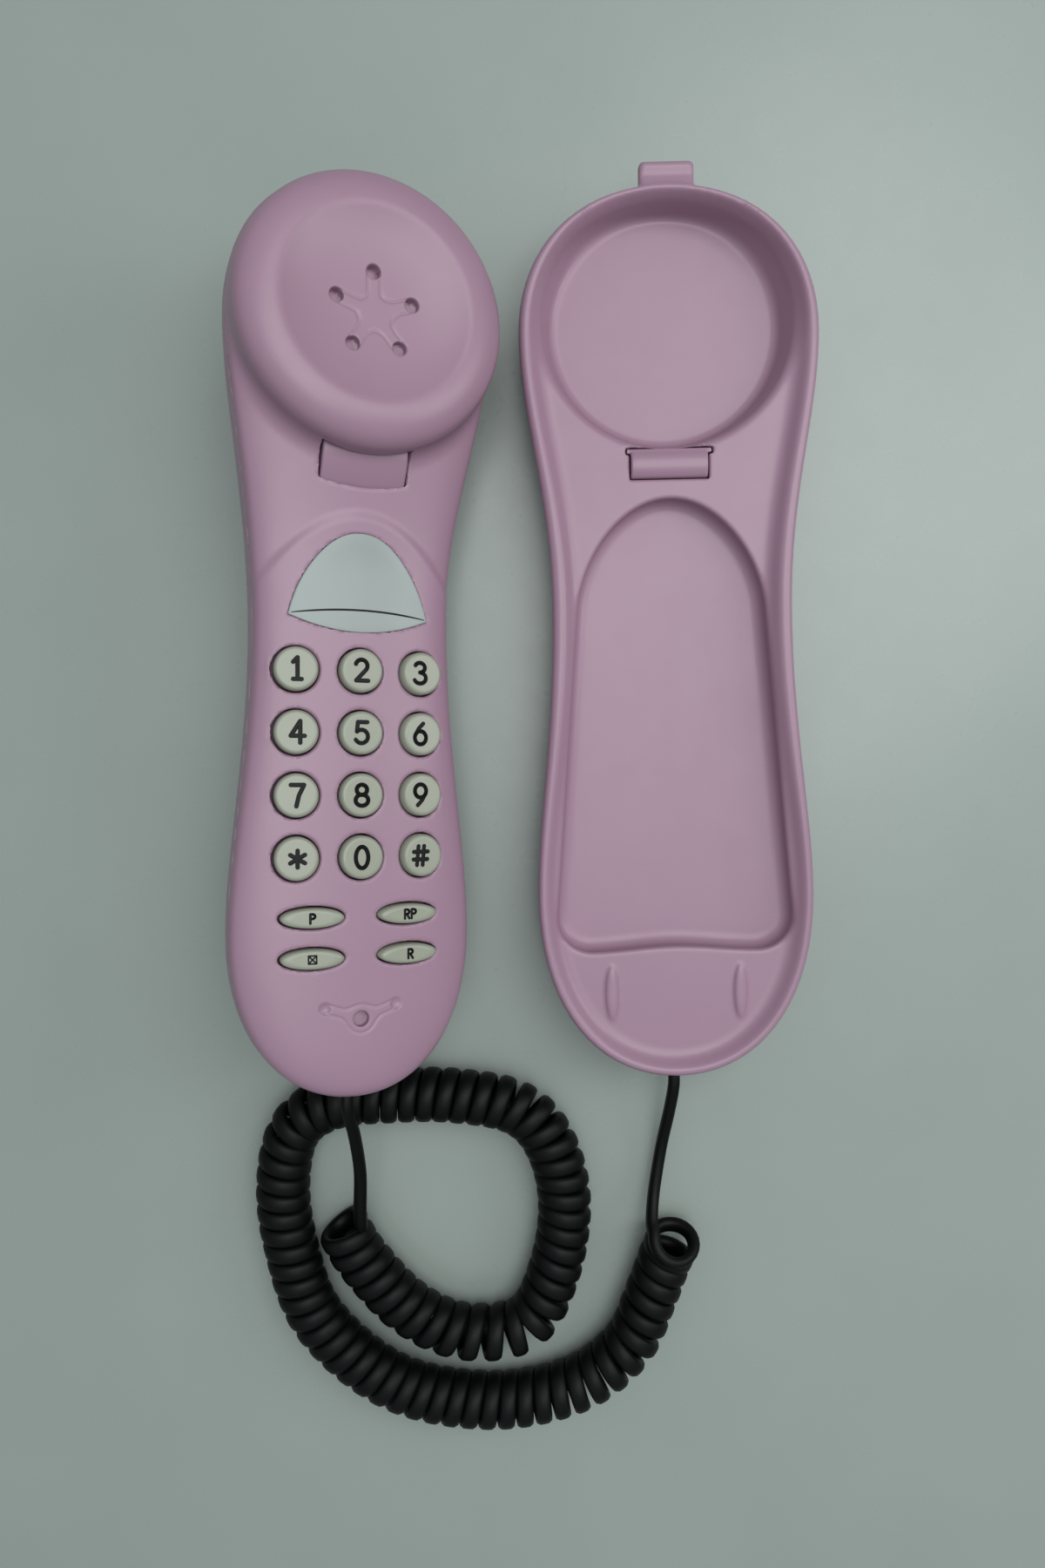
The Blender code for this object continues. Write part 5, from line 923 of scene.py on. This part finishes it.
cord = dict(thick=1.35, wide=2.05, coil=5.25, pitch=4.35, openPitch=0.7, turnSteps=26, tailWide=1.5,
            coilRoute=((-48.5, -142.5, 6.7), (-43.5, -151.5, 6.7), (-32.5, -164, 6.7), (-19, -170.5, 6.7),
                       (-3.6, -168.5, 6.7), (3.8, -155, 6.7), (6.6, -138, 6.7), (3.4, -123, 6.7),
                       (-4.6, -114, 6.7), (-19.4, -110.6, 6.7), (-34.4, -110.2, 6.7), (-49.3, -111.5, 6.7),
                       (-58.8, -117.5, 6.7), (-62.4, -130, 6.7), (-61.5, -146, 6.7), (-55, -166.5, 6.7),
                       (-37, -183, 6.7), (-13.5, -188.5, 6.7), (8, -185, 6.7), (21.5, -175, 6.7),
                       (27.6, -162, 6.7), (30.8, -153.5, 6.9), (32.6, -148.6, 8), (33.2, -146.2, 10.5)),
            handsetRoute=((-41.6, -112.5, 25), (-41.6, -124, 18.6), (-42.6, -135, 14.4), (-43.1, -140.6, 11)),
            baseRoute=((32.5, -115, 8.2), (30.9, -125, 4.8), (28.9, -136, 5.2), (27.9, -142.4, 8)))


def smoothRoute(points, steps):
    points = [np.array(p, float) for p in points]
    path = [2 * points[0] - points[1]] + points + [2 * points[-1] - points[-2]]
    out = []
    for i in range(1, len(path) - 2):
        a, b, c, d = path[i - 1:i + 3]
        for t in np.linspace(0, 1, steps, endpoint=False):
            out.append(0.5 * (2 * b + (c - a) * t + (2 * a - 5 * b + 4 * c - d) * t ** 2
                              + (3 * b - a - 3 * c + d) * t ** 3))
    out.append(points[-1])
    return np.array(out)


def evenly(points, gap):
    steps = np.linalg.norm(np.diff(points, axis=0), axis=1)
    along = np.concatenate([[0], np.cumsum(steps)])
    at = np.linspace(0, along[-1], max(2, int(round(along[-1] / gap)) + 1))
    return np.stack([np.interp(at, along, points[:, k]) for k in range(3)], 1), at


# Centreline of the coiled cable, with the direction from the coil's axis at each point.
def helixPath():
    axis, at = evenly(smoothRoute(cord["coilRoute"], 12), 0.5)
    heading = np.gradient(axis, axis=0)
    heading /= np.linalg.norm(heading, axis=1)[:, None]
    side = np.cross(heading, (0, 0, 1))
    side /= np.linalg.norm(side, axis=1)[:, None]
    up = np.cross(side, heading)
    share = at / at[-1]
    pitch = (cord["pitch"] + 2 * cord["openPitch"] * np.exp(-((share - 0.15) / 0.045) ** 2)
             + cord["openPitch"] * np.exp(-((share - 0.9) / 0.05) ** 2))
    turns = np.concatenate([[0], np.cumsum(np.diff(at) / pitch[1:])])
    count = int(round(turns[-1]))
    turns *= count / turns[-1]
    each = np.linspace(0, count, count * cord["turnSteps"] + 1)
    base = np.stack([np.interp(each, turns, axis[:, k]) for k in range(3)], 1)
    sides = np.stack([np.interp(each, turns, side[:, k]) for k in range(3)], 1)
    ups = np.stack([np.interp(each, turns, up[:, k]) for k in range(3)], 1)
    angle = (0.5 + each) * 2 * math.pi
    spoke = np.cos(angle)[:, None] * sides + np.sin(angle)[:, None] * ups
    return base + cord["coil"] * spoke, spoke


# Turns a cross-section along a path with no twist.
def carrySpokes(points, first):
    heading = np.gradient(points, axis=0)
    heading /= np.linalg.norm(heading, axis=1)[:, None]
    spokes = [first]
    for direction in heading[1:]:
        spoke = spokes[-1] - direction * (spokes[-1] @ direction)
        spokes.append(spoke / np.linalg.norm(spoke))
    return np.array(spokes)


# A tube with a rounded flat section along a path.
def sweep(points, spokes, thick, wide, sides=12):
    heading = np.gradient(points, axis=0)
    heading /= np.linalg.norm(heading, axis=1)[:, None]
    spokes = spokes - heading * (spokes * heading).sum(1)[:, None]
    spokes /= np.linalg.norm(spokes, axis=1)[:, None]
    across = np.cross(heading, spokes)
    turn = np.arange(sides) / sides * 2 * math.pi
    cos, sin = np.cos(turn), np.sin(turn)
    bulge = (np.abs(cos) ** 3 + np.abs(sin) ** 3) ** (-1 / 3)
    rings = (points[:, None] + spokes[:, None] * (cos * bulge)[None, :, None] * np.reshape(thick, (-1, 1, 1))
             + across[:, None] * (sin * bulge)[None, :, None] * np.reshape(wide, (-1, 1, 1)))
    count = len(points)
    faces = []
    for i in range(count - 1):
        for k in range(sides):
            after = (k + 1) % sides
            faces.append((i * sides + k, i * sides + after, (i + 1) * sides + after, (i + 1) * sides + k))
    faces.append(tuple(reversed(range(sides))))
    faces.append(tuple((count - 1) * sides + k for k in range(sides)))
    return rings.reshape(-1, 3), faces


def pathLength(points):
    return float(np.linalg.norm(np.diff(points, axis=0), axis=1).sum())


def makeCord():
    helix, spokes = helixPath()
    middle = cradle["jackMiddle"]
    baseExit = np.array(cradle["place"]) + (0, cradleForm["bottom"] - 1, middle)
    handsetExit = np.array(handsetPlace @ (Vector((0, handsetForm["bottom"] - 1, -3.8)) * mm)) / mm
    aim = np.array(handsetPlace.to_3x3() @ Vector((0, -1, 0)))

    tail = [baseExit, baseExit + (0, -4, 0), *cord["baseRoute"], helix[-1]]
    tail, _ = evenly(smoothRoute(tail, 16), 1.3)
    back = carrySpokes(tail[::-1], spokes[-1])[::-1]
    points = np.concatenate([tail[:-1], helix[::-1]])
    turned = np.concatenate([back[:-1], spokes[::-1]])
    blendIn = ease((np.arange(len(points)) - len(tail) * 0.4) / (len(tail) * 0.6))
    wide = cord["tailWide"] + (cord["wide"] - cord["tailWide"]) * blendIn
    thick = np.full(len(points), cord["thick"])
    rings, faces = sweep(points, turned, thick, wide)
    piece = meshPiece("curlyCord", rings, faces, Matrix.Identity(4), made["cord"], 60)
    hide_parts("cord_coil", "cord_tail_base")
    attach(piece, "base")
    pathLength(points) * mm

    tail = [handsetExit, handsetExit + aim * 4, *cord["handsetRoute"], helix[0]]
    tail, _ = evenly(smoothRoute(tail, 16), 1.3)
    turned = carrySpokes(tail[::-1], spokes[0])[::-1]
    blendIn = ease((np.arange(len(tail)) - len(tail) * 0.4) / (len(tail) * 0.6))
    rings, faces = sweep(tail, turned, np.full(len(tail), cord["thick"]),
                         cord["tailWide"] + (cord["wide"] - cord["tailWide"]) * blendIn)
    piece = meshPiece("handsetTail", rings, faces, Matrix.Identity(4), made["cord"], 60)
    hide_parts("cord_tail_handset")
    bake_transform(piece)
    pathLength(tail) * mm


studio = dict(table=(152, 163, 157), deep=(144, 155, 149), rough=0.28, size=1.6,
              world=(226, 232, 236), horizon=0.12, zenith=0.74,
              lamps=(dict(name="overhead", place=(0.2, 0.15, 0.85), size=(0.6, 0.8), watts=4.6),
                     dict(name="side", place=(0.6, 0.1, 0.4), size=(0.3, 0.3), watts=1.0)))


def makeStudio():
    half = studio["size"] / 2
    mesh = bpy.data.meshes.new("table")
    corners = [(-half, -half, 0), (half, -half, 0), (half, half, 0), (-half, half, 0)]
    mesh.from_pydata(corners, [], [(0, 1, 2, 3)])
    table = bpy.data.objects.new("table", mesh)
    mesh.materials.append(mouldedPlastic("tableTop", studio["table"], studio["deep"], studio["rough"], 0.0))
    bpy.context.scene.collection.objects.link(table)
    world = bpy.data.worlds.new("world")
    bpy.context.scene.world = world
    world.use_nodes = True
    tree = world.node_tree
    background = tree.nodes["Background"]
    background.inputs["Color"].default_value = plain(studio["world"])
    where, split = addNode(tree, "ShaderNodeTexCoord"), addNode(tree, "ShaderNodeSeparateXYZ")
    fade = addNode(tree, "ShaderNodeMapRange")
    fade.inputs["To Min"].default_value = studio["horizon"]
    fade.inputs["To Max"].default_value = studio["zenith"]
    tree.links.new(where.outputs["Generated"], split.inputs[0])
    tree.links.new(split.outputs["Z"], fade.inputs["Value"])
    tree.links.new(fade.outputs[0], background.inputs["Strength"])
    for lamp in studio["lamps"]:
        light = bpy.data.lights.new(lamp["name"], "AREA")
        light.shape = "RECTANGLE"
        light.size, light.size_y = lamp["size"]
        light.energy = lamp["watts"]
        holder = bpy.data.objects.new(lamp["name"], light)
        bpy.context.scene.collection.objects.link(holder)
        holder.location = lamp["place"]
        holder.rotation_euler = (Vector((0, -0.03, 0)) - holder.location).to_track_quat("-Z", "Y").to_euler()
    bpy.context.scene.view_settings.view_transform = "Standard"


makeCamera()
makeCord()
print("cord made")
makeStudio()
makeCradle()
makeHookTab()
makeHandsetShells()
makeLever()
print("shells made")
makeLabel()
makeKeys()
makeLegends()
print("keys made")
